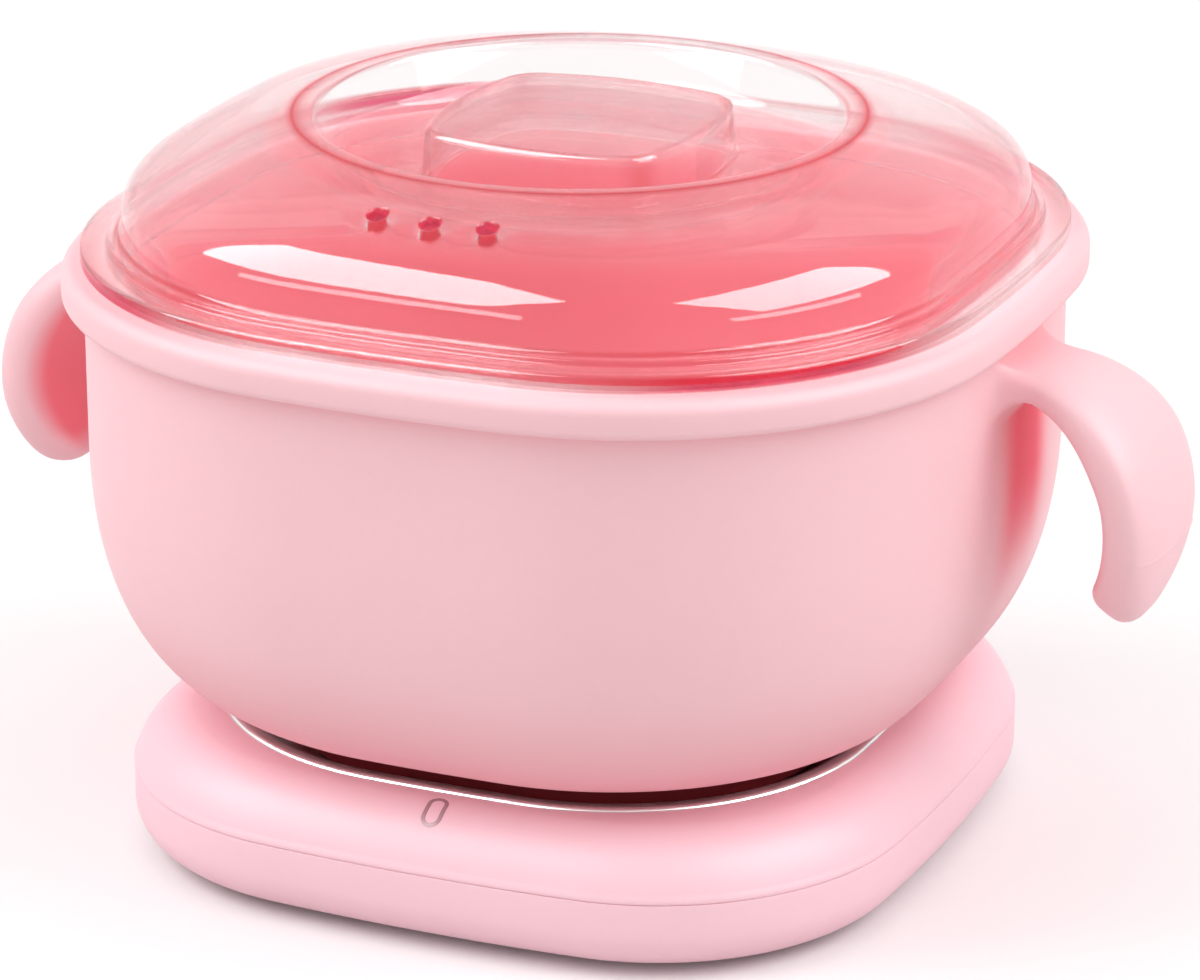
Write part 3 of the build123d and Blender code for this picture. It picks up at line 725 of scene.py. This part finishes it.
def make_base_top():
    """Upper shell of the base: crowned shoulder, recess with its ledge, hollow underneath."""
    shoulder_height = base_top - base_shoulder
    seam = seam_height + seam_gap / 2
    start = asin((seam - shoulder_height) / base_shoulder) * 180 / pi
    inside = grown(BASE, -shell_wall)
    outside = grown(RECESS, recess_wall)
    ledge = grown(RECESS, -ledge_width)
    inner_arc = arc_levels(inside, shoulder_height, base_shoulder - shell_wall, 12, 76)[::-1]
    levels = [(inside, seam + 0.9)]
    levels += softened([(inside, seam + 0.6, 0), (inside, seam, 0.2), (BASE, seam, seam_edge),
                        (BASE, seam + 0.7, 0)], 3)
    levels += arc_levels(BASE, shoulder_height, base_shoulder, start + 6, 84, 28)
    levels += softened([(grown(RECESS, 0.6), base_top, 0), (RECESS, base_top, 0.5),
                        (RECESS, ledge_top, 0.3), (ledge, ledge_top, 0.3),
                        (ledge, ledge_top - ledge_thickness, 0.3),
                        (outside, ledge_top - ledge_thickness, 0.3),
                        (outside, base_top - shell_wall - 0.6, 0)], 4)
    levels += inner_arc
    skin = Skin()
    skin.levels(levels)
    skin.join_ends()
    return skin.made("base_top_shell")


def make_base_bottom():
    """Lower shell of the base: heel, flat underside and the locating lip inside the seam."""
    seam = seam_height - seam_gap / 2
    inside = grown(BASE, -shell_wall)
    lip = grown(inside, -lip_gap)
    lip_inside = grown(lip, -lip_wall)
    heel_height = base_bottom + base_heel
    floor = base_bottom + shell_wall
    levels = disc_levels((grown(BASE, -base_heel), base_bottom), 8)
    levels += arc_levels(BASE, heel_height, base_heel, -90, 0, 24)
    levels += softened([(BASE, heel_height + 0.4, 0), (BASE, seam, seam_edge), (inside, seam, 0),
                        (lip, seam, 0.1), (lip, seam + lip_height, 0.3),
                        (lip_inside, seam + lip_height, 0.3), (lip_inside, seam - lip_depth, 0.2),
                        (inside, seam - lip_depth - lip_gap, 0.2), (inside, heel_height, 0)], 3)
    levels += arc_levels(inside, heel_height, base_heel - shell_wall, -6, -90, 12)
    levels += disc_levels((grown(inside, shell_wall - base_heel), floor), 8)[::-1]
    skin = Skin()
    skin.levels(levels)
    skin.close_start(base_bottom)
    skin.close_end(floor)
    return skin.made("base_bottom_shell")


def shoulder_point(x, y, lift):
    """Point above the front shoulder of the base, lifted off its surface."""
    drop = reach(BASE, atan2(y, x)) - hypot(x, y)
    lean = acos(min(1.0, max(0.0, 1 - drop / base_shoulder)))
    height = base_top - base_shoulder + base_shoulder * sin(lean)
    return Vector((x, y - lift * cos(lean), height + lift * sin(lean)))


def make_power_mark():
    """Touch mark: a thin printed loop that lies on the shoulder."""
    turn_steps, run_steps = 24, 12
    (west, south, _), (east, north, _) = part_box("power_mark")
    centre_x, centre_y = (west + east) / 2 / MM, (south + north) / 2 / MM
    half_run = (mark_length - mark_width) / 2
    radius = mark_width / 2 - mark_stroke / 2
    path = []
    for end, start in ((1, 0), (-1, pi)):
        for step in range(turn_steps):
            turn = start + pi * step / turn_steps
            path.append((cos(turn), sin(turn), half_run * end))
        for step in range(run_steps):
            path.append((-end, 0.0, half_run * end * (1 - 2 * step / run_steps)))
    points, faces = [], []
    for aside, onward, along in path:
        for offset, lift in ((mark_stroke / 2, 0.0), (mark_stroke / 2, mark_lift),
                             (-mark_stroke / 2, mark_lift), (-mark_stroke / 2, 0.0)):
            x = centre_x + (radius + offset) * aside
            y = centre_y + (along + (radius + offset) * onward) * mark_slope
            points.append(shoulder_point(x, y, lift) * MM)
    for step in range(len(path)):
        here, onward = 4 * step, 4 * ((step + 1) % len(path))
        for k in range(4):
            side = (k + 1) % 4
            faces.append((here + k, here + side, onward + side, onward + k))
    mesh = bpy.data.meshes.new("power_loop")
    mesh.from_pydata(points, [], faces)
    loop = bmesh.new()
    loop.from_mesh(mesh)
    bmesh.ops.recalc_face_normals(loop, faces=loop.faces)
    loop.to_mesh(mesh)
    loop.free()
    piece = shown("power_loop", mesh)
    mesh.shade_flat()
    return piece


def cut_box(piece, low_corner, high_corner):
    """Cut a box-shaped opening out of a piece."""
    mesh = bpy.data.meshes.new("cutter")
    block = bmesh.new()
    bmesh.ops.create_cube(block, size=1)
    middle = (Vector(low_corner) + Vector(high_corner)) / 2 * MM
    size = (Vector(high_corner) - Vector(low_corner)) * MM
    for vertex in block.verts:
        vertex.co = middle + Vector([c * s for c, s in zip(vertex.co, size)])
    block.to_mesh(mesh)
    block.free()
    cutter = bpy.data.objects.new("cutter", mesh)
    bpy.context.scene.collection.objects.link(cutter)
    cut = piece.modifiers.new("cut", "BOOLEAN")
    cut.operation = "DIFFERENCE"
    cut.solver = "EXACT"
    cut.object = cutter
    weld(piece)
    settle(piece)
    bpy.data.objects.remove(cutter)
    bpy.data.meshes.remove(mesh)


def weld(piece):
    """Join the points of a piece that lie in one place."""
    piece.modifiers.new("weld", "WELD").merge_threshold = 0.001 * MM


def settle(piece):
    """Turn a piece's modifiers into its mesh."""
    settled = bpy.data.meshes.new_from_object(
        piece.evaluated_get(bpy.context.evaluated_depsgraph_get()))
    piece.modifiers.clear()
    old = piece.data
    piece.data = settled
    settled.name = piece.name
    bpy.data.meshes.remove(old)


def make_heater_plate():
    """The pressed metal plate in the recess, with its upright rim."""
    plate = grown(RECESS, -plate_clearance)
    inside = grown(plate, -plate_thickness)
    rim = base_top + plate_bead_rise
    bead = grown(RECESS, plate_bead_reach)
    levels = disc_levels((plate, plate_bottom), 4)
    levels += softened([(shrunk(plate, 0.8), plate_bottom, 0), (plate, plate_bottom, 1.6),
                        (plate, base_top + 0.02, 0.05), (bead, base_top - 0.02, 0.1),
                        (bead, rim, 0.8), (inside, rim, 0.7), (inside, plate_top, 1.2),
                        (shrunk(inside, 0.8), plate_top, 0)])
    levels += disc_levels((inside, plate_top), 5)[::-1][1:]
    skin = Skin()
    skin.levels(levels)
    skin.close_start(plate_bottom)
    skin.close_end(plate_top)
    return skin.made("hot_plate")


# ---------------------------------------------------------------- repeated pieces
def set_input(modifier, name, value):
    """Set a node modifier's input by its socket's identifier."""
    for item in modifier.node_group.interface.items_tree:
        if item.name == name and item.in_out == "INPUT":
            modifier[item.identifier] = value


def repeat_tree():
    """Node tree that sets copies of a piece on the corners of a square."""
    tree = bpy.data.node_groups.new("four_corners", "GeometryNodeTree")
    sockets = (("Geometry", "OUTPUT", "NodeSocketGeometry"), ("Piece", "INPUT", "NodeSocketObject"),
               ("Spacing", "INPUT", "NodeSocketFloat"), ("Height", "INPUT", "NodeSocketFloat"),
               ("Material", "INPUT", "NodeSocketMaterial"))
    for name, way, kind in sockets:
        tree.interface.new_socket(name=name, in_out=way, socket_type=kind)
    inlet = tree.nodes.new("NodeGroupInput")
    outlet = tree.nodes.new("NodeGroupOutput")
    grid = tree.nodes.new("GeometryNodeMeshGrid")
    grid.inputs["Vertices X"].default_value = 2
    grid.inputs["Vertices Y"].default_value = 2
    raised = tree.nodes.new("ShaderNodeCombineXYZ")
    moved = tree.nodes.new("GeometryNodeSetPosition")
    source = tree.nodes.new("GeometryNodeObjectInfo")
    copies = tree.nodes.new("GeometryNodeInstanceOnPoints")
    real = tree.nodes.new("GeometryNodeRealizeInstances")
    coloured = tree.nodes.new("GeometryNodeSetMaterial")
    link = tree.links.new
    link(inlet.outputs["Spacing"], grid.inputs["Size X"])
    link(inlet.outputs["Spacing"], grid.inputs["Size Y"])
    link(inlet.outputs["Height"], raised.inputs["Z"])
    link(raised.outputs[0], moved.inputs["Offset"])
    link(grid.outputs["Mesh"], moved.inputs["Geometry"])
    link(inlet.outputs["Piece"], source.inputs["Object"])
    link(moved.outputs[0], copies.inputs["Points"])
    link(source.outputs["Geometry"], copies.inputs["Instance"])
    link(copies.outputs[0], real.inputs["Geometry"])
    link(real.outputs[0], coloured.inputs["Geometry"])
    link(inlet.outputs["Material"], coloured.inputs["Material"])
    link(coloured.outputs[0], outlet.inputs["Geometry"])
    return tree


def lathe(name, outline, columns):
    """A turned piece from its outline of (radius, height) points, both ends on the axis."""
    mesh = bpy.data.meshes.new(name)
    points = [Vector((0, 0, outline[0][1])) * MM]
    faces = []
    for radius, height in outline[1:-1]:
        for column in range(columns):
            angle = 2 * pi * column / columns
            points.append(Vector((radius * cos(angle), radius * sin(angle), height)) * MM)
    last = len(points)
    points.append(Vector((0, 0, outline[-1][1])) * MM)
    for column in range(columns):
        onward = (column + 1) % columns
        faces.append((0, 1 + onward, 1 + column))
        for row in range(len(outline) - 3):
            start = 1 + row * columns
            faces.append((start + column, start + onward, start + columns + onward,
                          start + columns + column))
        faces.append((last, last - columns + column, last - columns + onward))
    mesh.from_pydata(points, [], faces)
    return shown(name, mesh)


def make_feet(material):
    """Four rubber feet with ribbed, slightly dished soles."""
    low_corner, high_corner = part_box("rubber_feet")
    spacing = (high_corner.x - low_corner.x) / MM - foot_width
    ribs = [(0, 0.35)]
    for ring in range(1, foot_rib_count + 1):
        for radius, height in ((-0.35, 0.3), (-0.2, 0.0), (0.2, 0.0), (0.35, 0.3)):
            ribs.append((foot_rib_pitch * ring + radius, height))
    outline = ribs + [(6.1, 0.0), (6.4, 0.15), (6.5, 0.5), (6.5, 1.2), (0, 1.2)]
    foot = lathe("foot_pattern", outline, columns=48)
    feet = bpy.data.objects.new("rubber_feet_set", bpy.data.meshes.new("rubber_feet_set"))
    bpy.context.scene.collection.objects.link(feet)
    modifier = feet.modifiers.new("feet", "NODES")
    modifier.node_group = repeat_tree()
    for name, value in (("Piece", foot), ("Spacing", spacing * MM), ("Height", 0.0),
                        ("Material", material)):
        set_input(modifier, name, value)
    settle(feet)
    bpy.data.objects.remove(foot)
    return feet


# ---------------------------------------------------------------- materials
class Value:
    """A socket of a finish, so that shader maths is written as an expression."""

    def __init__(self, finish, socket):
        self.finish = finish
        self.socket = socket

    def _maths(self, operation, *values):
        return self.finish.node("ShaderNodeMath", dict(enumerate(values)), operation=operation)

    def __add__(self, other):
        return self._maths("ADD", self, other)

    def __sub__(self, other):
        return self._maths("SUBTRACT", self, other)

    def __rsub__(self, other):
        return self._maths("SUBTRACT", other, self)

    def __mul__(self, other):
        return self._maths("MULTIPLY", self, other)

    def __pow__(self, other):
        return self._maths("POWER", self, other)

    __radd__ = __add__
    __rmul__ = __mul__


class Finish:
    """A material built from nodes."""

    def __init__(self, name):
        self.material = bpy.data.materials.new(name)
        self.material.use_nodes = True
        self.tree = self.material.node_tree
        self.shader = self.tree.nodes["Principled BSDF"]
        self.place = Value(self, self.tree.nodes.new("ShaderNodeTexCoord").outputs["Object"])

    def feed(self, socket, value):
        """Link a value to a socket, or set it there."""
        if isinstance(value, Value):
            self.tree.links.new(value.socket, socket)
        else:
            socket.default_value = value

    def node(self, kind, sockets, output=0, **settings):
        """Output of a new node, with its settings set first and then its sockets."""
        node = self.tree.nodes.new(kind)
        for name, value in settings.items():
            setattr(node, name, value)
        for name, value in sockets.items():
            self.feed(node.inputs[name], value)
        return Value(self, node.outputs[output])

    def constants(self, **values):
        """Set the shader's own sockets, named with underscores for spaces."""
        for name, value in values.items():
            self.shader.inputs[name.replace("_", " ")].default_value = value
        return self

    def varying(self, **values):
        """Link what changes over the surface to the shader."""
        for name, value in values.items():
            self.feed(self.shader.inputs[name.replace("_", " ")], value)
        return self

    def noise(self, size, detail=3.0, roughness=0.5, place=None):
        """Noise from 0 to 1 whose features are about so many millimetres wide."""
        return self.node("ShaderNodeTexNoise",
                         {"Vector": place or self.place, "Scale": 1 / (size * MM),
                          "Detail": detail, "Roughness": roughness})

    def between(self, share, first, last):
        """A colour between two, each of three numbers."""
        return self.mixed(share, (*first, 1), (*last, 1))

    def mixed(self, share, first, last):
        """Two colours mixed, each a value or four numbers."""
        return self.node("ShaderNodeMix", {0: share, 6: first, 7: last}, 2, data_type="RGBA")

    def bump(self, height, depth, strength=1.0):
        """Normal of a surface raised by a height from 0 to 1, with its depth in millimetres."""
        return self.node("ShaderNodeBump", {"Height": height, "Distance": depth * MM,
                                            "Strength": strength})

    def marked(self, name):
        """Share that the piece's mesh carries under a name."""
        return self.node("ShaderNodeAttribute", {}, 2, attribute_name=name)

    def apart(self, output):
        """One coordinate of the place on the piece."""
        return self.node("ShaderNodeSeparateXYZ", {0: self.place}, output)


def moulded(name, light, crease_shade, roughness, grain=0.35, grain_depth=0.012, shade_reach=14.0,
            inside=None, glow=None, foot=None):
    """Moulded silicone or plastic: faint mottling, fine grain, and painted shade that deepens the
    colour in creases.

    The further colours, when given, are painted shade as well: deeper inside the pot, by the ears and
    on the foot, where the mesh carries their marks.
    """
    finish = Finish(name)
    mottle = finish.noise(22.0, 2.0) * 0.7 + finish.noise(2.5, 2.0) * 0.3
    plain = finish.between(mottle, [c * 0.985 for c in light],
                           [min(1.0, c * 1.015) for c in light])
    # Painted shade: ambient occlusion deepens the colour in creases and hollows
    crease = finish.node("ShaderNodeAmbientOcclusion", {"Distance": shade_reach * MM}, 1,
                         only_local=True, samples=8)
    colour = finish.mixed((1 - crease) ** 1.8, plain, (*crease_shade, 1))
    # Painted shade where the mesh carries its marks
    for mark, tone in (("depth", inside), ("glow", glow), ("foot", foot)):
        if tone:
            colour = finish.mixed(finish.marked(mark), colour, (*tone, 1))
    fine = finish.noise(grain, 3.0, 0.6)
    finish.varying(Base_Color=colour, Roughness=fine * 0.08 + (roughness - 0.04),
                   Normal=finish.bump(fine, grain_depth, 0.6))
    return finish


def pot_finish():
    """Pale pink silicone, matt and a little translucent."""
    # The deeper colours for the creases, the inside, the ears and the foot are painted shade
    finish = moulded("pink_silicone", (0.94, 0.59, 0.63), (0.90, 0.25, 0.31), 0.5,
                     inside=(0.79, 0.24, 0.29), glow=(0.97, 0.13, 0.20),
                     foot=(0.42, 0.05, 0.06))
    return finish.constants(Subsurface_Weight=0.1, Subsurface_Radius=(0.6, 0.2, 0.2),
                            Subsurface_Scale=3 * MM, Specular_IOR_Level=0.12)


def base_finish():
    """Pink satin plastic of the base."""
    # The deeper colour in the creases is painted shade
    finish = moulded("pink_plastic", (0.97, 0.62, 0.69), (0.93, 0.36, 0.45), 0.47, 0.5, 0.006, 5.0)
    return finish.constants(Subsurface_Weight=0.06, Subsurface_Radius=(0.5, 0.2, 0.2),
                            Subsurface_Scale=2 * MM, Specular_IOR_Level=0.14)


def lid_finish():
    """Clear plastic with faint handling marks, and a painted reflection of the pot's colour on its
    edges.
    """
    finish = Finish("clear_plastic")
    haze = finish.noise(30.0, 3.0)
    smear = finish.noise(6.0, 4.0, 0.6)
    clear_tone = finish.between(haze, (0.90, 0.86, 0.86), (0.93, 0.89, 0.89))
    # Painted reflection: crimson where the mesh carries the edge mark, made less clear there so that
    # it shows
    edge = finish.marked("edge")
    under = finish.marked("underside")
    clearness = under * 0.25 + 0.4
    film = 1 - (1 - edge) * clearness
    finish.varying(Base_Color=finish.mixed(edge, clear_tone, (0.58, 0.015, 0.045, 1)),
                   Roughness=haze * smear * 0.05 + 0.012,
                   Alpha=film * (1 - finish.marked("clearer") * 0.85),
                   Coat_Weight=(1 - under * 0.97) * (1 - edge * 0.7),
                   Normal=finish.bump(finish.noise(18.0, 1.0), 0.03, 0.25))
    return finish.constants(Transmission_Weight=1.0, IOR=1.1, Coat_IOR=1.5, Coat_Roughness=0.05)


def turned_metal(name, colour, roughness, ring=0.5):
    """Metal with fine rings from turning."""
    finish = Finish(name)
    x, y = finish.apart(0), finish.apart(1)
    radius = (x * x + y * y) ** 0.5
    along = finish.node("ShaderNodeCombineXYZ", {0: radius, 1: 0.0, 2: 0.0})
    rings = finish.noise(ring, 4.0, 0.6, along)
    cloud = finish.noise(12.0, 2.0)
    finish.varying(Base_Color=finish.between(rings, [c * 0.9 for c in colour], colour),
                   Roughness=rings * 0.18 + cloud * 0.08 + (roughness - 0.12),
                   Normal=finish.bump(rings, 0.01, 0.4))
    return finish.constants(Metallic=1.0)


def plain_metal(name, colour, roughness):
    """Rolled or plated metal with a faint grain."""
    finish = Finish(name)
    grain = finish.noise(0.6, 4.0, 0.65)
    finish.varying(Base_Color=finish.between(grain, [c * 0.88 for c in colour], colour),
                   Roughness=grain * 0.2 + (roughness - 0.1),
                   Normal=finish.bump(grain, 0.006, 0.5))
    return finish.constants(Metallic=1.0)


def fine_plastic(name, colour, roughness, spread=0.12):
    """Small moulded or ceramic part with a fine grain."""
    finish = Finish(name)
    grain = finish.noise(0.4, 3.0, 0.6)
    finish.varying(Base_Color=finish.between(grain, [c * (1 - spread) for c in colour],
                                             [min(1.0, c * (1 + spread)) for c in colour]),
                   Roughness=grain * 0.12 + (roughness - 0.06),
                   Normal=finish.bump(grain, 0.01, 0.5))
    return finish


def mica_finish():
    """Mica sheet: overlapping pale flakes."""
    finish = Finish("mica_sheet")
    flakes = finish.node("ShaderNodeTexVoronoi", {"Vector": finish.place, "Scale": 1 / (3.5 * MM)},
                         feature="F1")
    tone = finish.noise(1.2, 3.0)
    share = flakes * 0.5 + tone * 0.5
    finish.varying(Base_Color=finish.between(share, (0.62, 0.52, 0.34), (0.36, 0.28, 0.17)),
                   Roughness=tone * 0.2 + 0.35, Normal=finish.bump(flakes, 0.05, 0.4))
    return finish


def board_finish():
    """Green circuit board: copper tracks showing faintly through the lacquer."""
    finish = Finish("board_lacquer")
    tracks = finish.node("ShaderNodeTexBrick",
                         {"Vector": finish.place, "Scale": 1 / (6 * MM), "Mortar Size": 0.03,
                          "Color1": (1, 1, 1, 1), "Color2": (1, 1, 1, 1), "Mortar": (0, 0, 0, 1)})
    tone = finish.noise(0.8, 3.0)
    lacquer = finish.between(tone, (0.02, 0.13, 0.06), (0.03, 0.19, 0.09))
    finish.varying(Base_Color=finish.mixed(tracks, (0.05, 0.30, 0.14, 1), lacquer),
                   Roughness=tone * 0.15 + 0.25, Normal=finish.bump(tracks, 0.03, 0.4))
    return finish


def wire_finish(name, colour):
    """Insulation of a wire, with fine lines along it."""
    finish = Finish(name)
    lines = finish.noise(0.3, 2.0)
    finish.varying(Base_Color=finish.between(lines, [c * 0.85 for c in colour], colour),
                   Roughness=lines * 0.1 + 0.35, Normal=finish.bump(lines, 0.01, 0.3))
    return finish


def glass_finish():
    """Glass of the small fuse, with a faint smear."""
    finish = Finish("fuse_glass")
    smear = finish.noise(2.0, 3.0)
    finish.varying(Roughness=smear * 0.06 + 0.02)
    return finish.constants(Base_Color=(0.95, 0.98, 0.97, 1), Transmission_Weight=0.9, IOR=1.5)


def lamp_finish():
    """Clear resin of the indicator lamp."""
    finish = Finish("lamp_resin")
    cloud = finish.noise(0.8, 2.0)
    finish.varying(Base_Color=finish.between(cloud, (0.9, 0.85, 0.75), (0.95, 0.9, 0.85)),
                   Roughness=cloud * 0.1 + 0.1)
    return finish.constants(Transmission_Weight=0.4, IOR=1.5)


def paint(piece, finish):
    """Give a piece one finish all over."""
    piece.data.materials.clear()
    piece.data.materials.append(finish.material)


def dress_node(name, finish):
    """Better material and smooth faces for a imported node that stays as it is."""
    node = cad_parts[name]
    paint(node, finish)
    node.data.shade_smooth()
    weld(node)
    split = node.modifiers.new("edges", "EDGE_SPLIT")
    split.split_angle = radians(32)


# ---------------------------------------------------------------- pieces
silicone = pot_finish()
plastic = base_finish()
clear = lid_finish()
rubber = fine_plastic("foot_rubber", (0.62, 0.25, 0.32), 0.7)
plate_metal = turned_metal("plate_metal", (0.77, 0.76, 0.76), 0.3)
disc_metal = turned_metal("disc_metal", (0.80, 0.80, 0.80), 0.34, 0.8)

pot = make_pot()
paint(pot, silicone)
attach(pot, "pot")
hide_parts("wax_pot")

lid = make_lid()
paint(lid, clear)
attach(lid, "lid")
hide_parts("lid")

base_shell_top = make_base_top()
base_shell_bottom = make_base_bottom()
inlet_low, inlet_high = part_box("mains_inlet")
opening_low = (inlet_low.x / MM - inlet_play, inlet_high.y / MM - inlet_reach_in,
               inlet_low.z / MM)
opening_high = (inlet_high.x / MM + inlet_play, inlet_high.y / MM + inlet_reach_out,
                inlet_high.z / MM + inlet_play)
for piece, node in ((base_shell_top, "base_shell"), (base_shell_bottom, "base_cover")):
    cut_box(piece, opening_low, opening_high)
    paint(piece, plastic)
    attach(piece, "base")
    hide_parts(node)

hot_plate = make_heater_plate()
paint(hot_plate, plate_metal)
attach(hot_plate, "base")
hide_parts("heater_plate")

power_loop = make_power_mark()
paint(power_loop, fine_plastic("mark_print", (0.42, 0.22, 0.26), 0.4))
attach(power_loop, "base")
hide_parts("power_mark")

feet = make_feet(rubber.material)
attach(feet, "base")
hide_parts("rubber_feet")

steel = plain_metal("plated_steel", (0.62, 0.62, 0.64), 0.35)
black = fine_plastic("black_plastic", (0.022, 0.022, 0.024), 0.45, 0.3)
white = fine_plastic("white_ceramic", (0.80, 0.80, 0.76), 0.3, 0.04)
node_finishes = {
    "pot_heat_disc": disc_metal,
    "plate_seal": fine_plastic("seal_rubber", (0.16, 0.03, 0.04), 0.7, 0.2),
    "mica_heater": mica_finish(), "pressure_plate": plain_metal("pressed_plate", (0.7, 0.7, 0.7), 0.4),
    "housing_screws": steel, "pressure_nuts": steel, "plate_nuts": steel, "heat_shield": steel,
    "shield_screws": steel, "fuse_clip": steel, "board_screws": steel, "touch_spring": steel,
    "thermistor": black, "triac": black, "drum_capacitor": black, "controller_chip": black,
    "mains_inlet": black, "thermal_fuse": disc_metal, "control_board": board_finish(),
    "film_capacitor": fine_plastic("film_yellow", (0.6, 0.4, 0.04), 0.3),
    "board_fuse": glass_finish(), "indicator_lamp": lamp_finish(), "terminal_blocks": white,
    "inlet_pins": plain_metal("contact_brass", (0.72, 0.55, 0.26), 0.3),
    "mains_wires": wire_finish("red_wire", (0.42, 0.03, 0.02)),
    "heater_leads": wire_finish("white_wire", (0.75, 0.74, 0.7)),
    "sensor_lead": wire_finish("black_wire", (0.03, 0.03, 0.03)),
}
for name, finish in node_finishes.items():
    dress_node(name, finish)


# ---------------------------------------------------------------- stage
def area_light(name, azimuth, elevation, width, height, strength, gloss_only=False):
    """Soft lamp that looks at the middle of the object from a direction."""
    lamp = bpy.data.lights.new(name, "AREA")
    lamp.shape = "RECTANGLE"
    lamp.size, lamp.size_y = width, height
    lamp.energy = strength
    lamp.color = (1, 1, 1)
    holder = bpy.data.objects.new(name, lamp)
    bpy.context.scene.collection.objects.link(holder)
    a, e = radians(azimuth), radians(elevation)
    way = Vector((sin(a) * cos(e), -cos(a) * cos(e), sin(e)))
    holder.location = way * LAMP_DISTANCE + Vector((0, 0, LAMP_AIM))
    holder.rotation_euler = way.to_track_quat("Z", "Y").to_euler()
    holder.visible_diffuse = not gloss_only
    holder.visible_transmission = not gloss_only
    holder.visible_glossy = gloss_only


def white_world(ambience):
    """White surroundings for the camera, metal and glass, and a plain level of light."""
    world = bpy.data.worlds.new("studio")
    bpy.context.scene.world = world
    world.use_nodes = True
    tree = world.node_tree
    path = tree.nodes.new("ShaderNodeLightPath")
    link = tree.links.new

    def larger(first, second):
        node = tree.nodes.new("ShaderNodeMath")
        node.operation = "MAXIMUM"
        link(first, node.inputs[0])
        link(second, node.inputs[1])
        return node.outputs[0]

    seen = larger(larger(path.outputs["Is Camera Ray"], path.outputs["Is Glossy Ray"]),
                  path.outputs["Is Transmission Ray"])
    level = tree.nodes.new("ShaderNodeMapRange")
    level.inputs["To Min"].default_value = ambience
    level.inputs["To Max"].default_value = 1.0
    link(seen, level.inputs["Value"])
    background = tree.nodes["Background"]
    background.inputs["Color"].default_value = (1, 1, 1, 1)
    link(level.outputs[0], background.inputs["Strength"])


def make_floor():
    """Wide pale table top, with a shadow near the object and plain white far off."""
    mesh = bpy.data.meshes.new("table_top")
    corners = [(x * FLOOR_REACH, y * FLOOR_REACH, 0)
               for x, y in ((-1, -1), (1, -1), (1, 1), (-1, 1))]
    mesh.from_pydata(corners, [], [(0, 1, 2, 3)])
    floor = bpy.data.objects.new("table_top", mesh)
    bpy.context.scene.collection.objects.link(floor)
    finish = Finish("table_white")
    tone = finish.noise(80.0, 2.0)
    camera, glossy, transmission = "Is Camera Ray", "Is Glossy Ray", "Is Transmission Ray"
    seen = finish.node("ShaderNodeLightPath", {}, camera)
    for kind in (glossy, transmission):
        also = finish.node("ShaderNodeLightPath", {}, kind)
        seen = finish.node("ShaderNodeMath", {0: seen, 1: also}, operation="MAXIMUM")
    lit = finish.between(tone, (0.59, 0.57, 0.57), (0.61, 0.59, 0.59))
    white = finish.between(tone, (0.93, 0.93, 0.93), (0.95, 0.95, 0.95))
    black, full = (0, 0, 0, 1), (1, 1, 1, 1)
    distance = finish.node("ShaderNodeVectorMath", {0: finish.place}, 1, operation="LENGTH")
    far = finish.node("ShaderNodeMapRange", {0: distance, 1: FLOOR_FADE[0], 2: FLOOR_FADE[1]},
                      interpolation_type="SMOOTHSTEP") * seen
    finish.varying(Base_Color=finish.mixed(far, finish.mixed(seen, lit, white), black),
                   Emission_Color=finish.mixed(far, black, full))
    finish.constants(Roughness=0.8, Specular_IOR_Level=0.2, Emission_Strength=1.0)
    paint(floor, finish)


def make_camera(azimuth, elevation, distance, aim, lens):
    """Camera that looks at a point from a direction."""
    camera = bpy.data.cameras.new("camera")
    camera.lens = lens
    camera.sensor_width = 36.0
    camera.clip_start, camera.clip_end = 0.05, 20.0
    holder = bpy.data.objects.new("camera", camera)
    bpy.context.scene.collection.objects.link(holder)
    a, e = radians(azimuth), radians(elevation)
    back = Vector((sin(a) * cos(e), -cos(a) * cos(e), sin(e)))
    side = Vector((cos(a), sin(a), 0))
    target = (side * aim[0] + Vector((0, 0, aim[1]))) * MM
    holder.location = target + back * distance * MM
    holder.rotation_mode = "QUATERNION"
    holder.rotation_quaternion = back.to_track_quat("Z", "Y")
    bpy.context.scene.camera = holder


white_world(AMBIENCE)
make_floor()
area_light("key_left", -60, 40, 0.7, 0.7, 4.5)
area_light("fill_right", 98, 40, 0.7, 0.7, 4.0)
area_light("window_left", -48, 46, 1.1, 0.80, 60.0, gloss_only=True)
area_light("window_right", 93, 45, 1.05, 0.85, 54.0, gloss_only=True)
area_light("strip_left", -31, 13.5, 0.9, 0.15, 5.0, gloss_only=True)
area_light("strip_right", 79, 13.5, 0.9, 0.15, 5.0, gloss_only=True)
make_camera(azimuth=23.3, elevation=20.17, distance=793.1, aim=(2.87, 49.02), lens=162.2)
bpy.context.scene.view_settings.view_transform = "Standard"
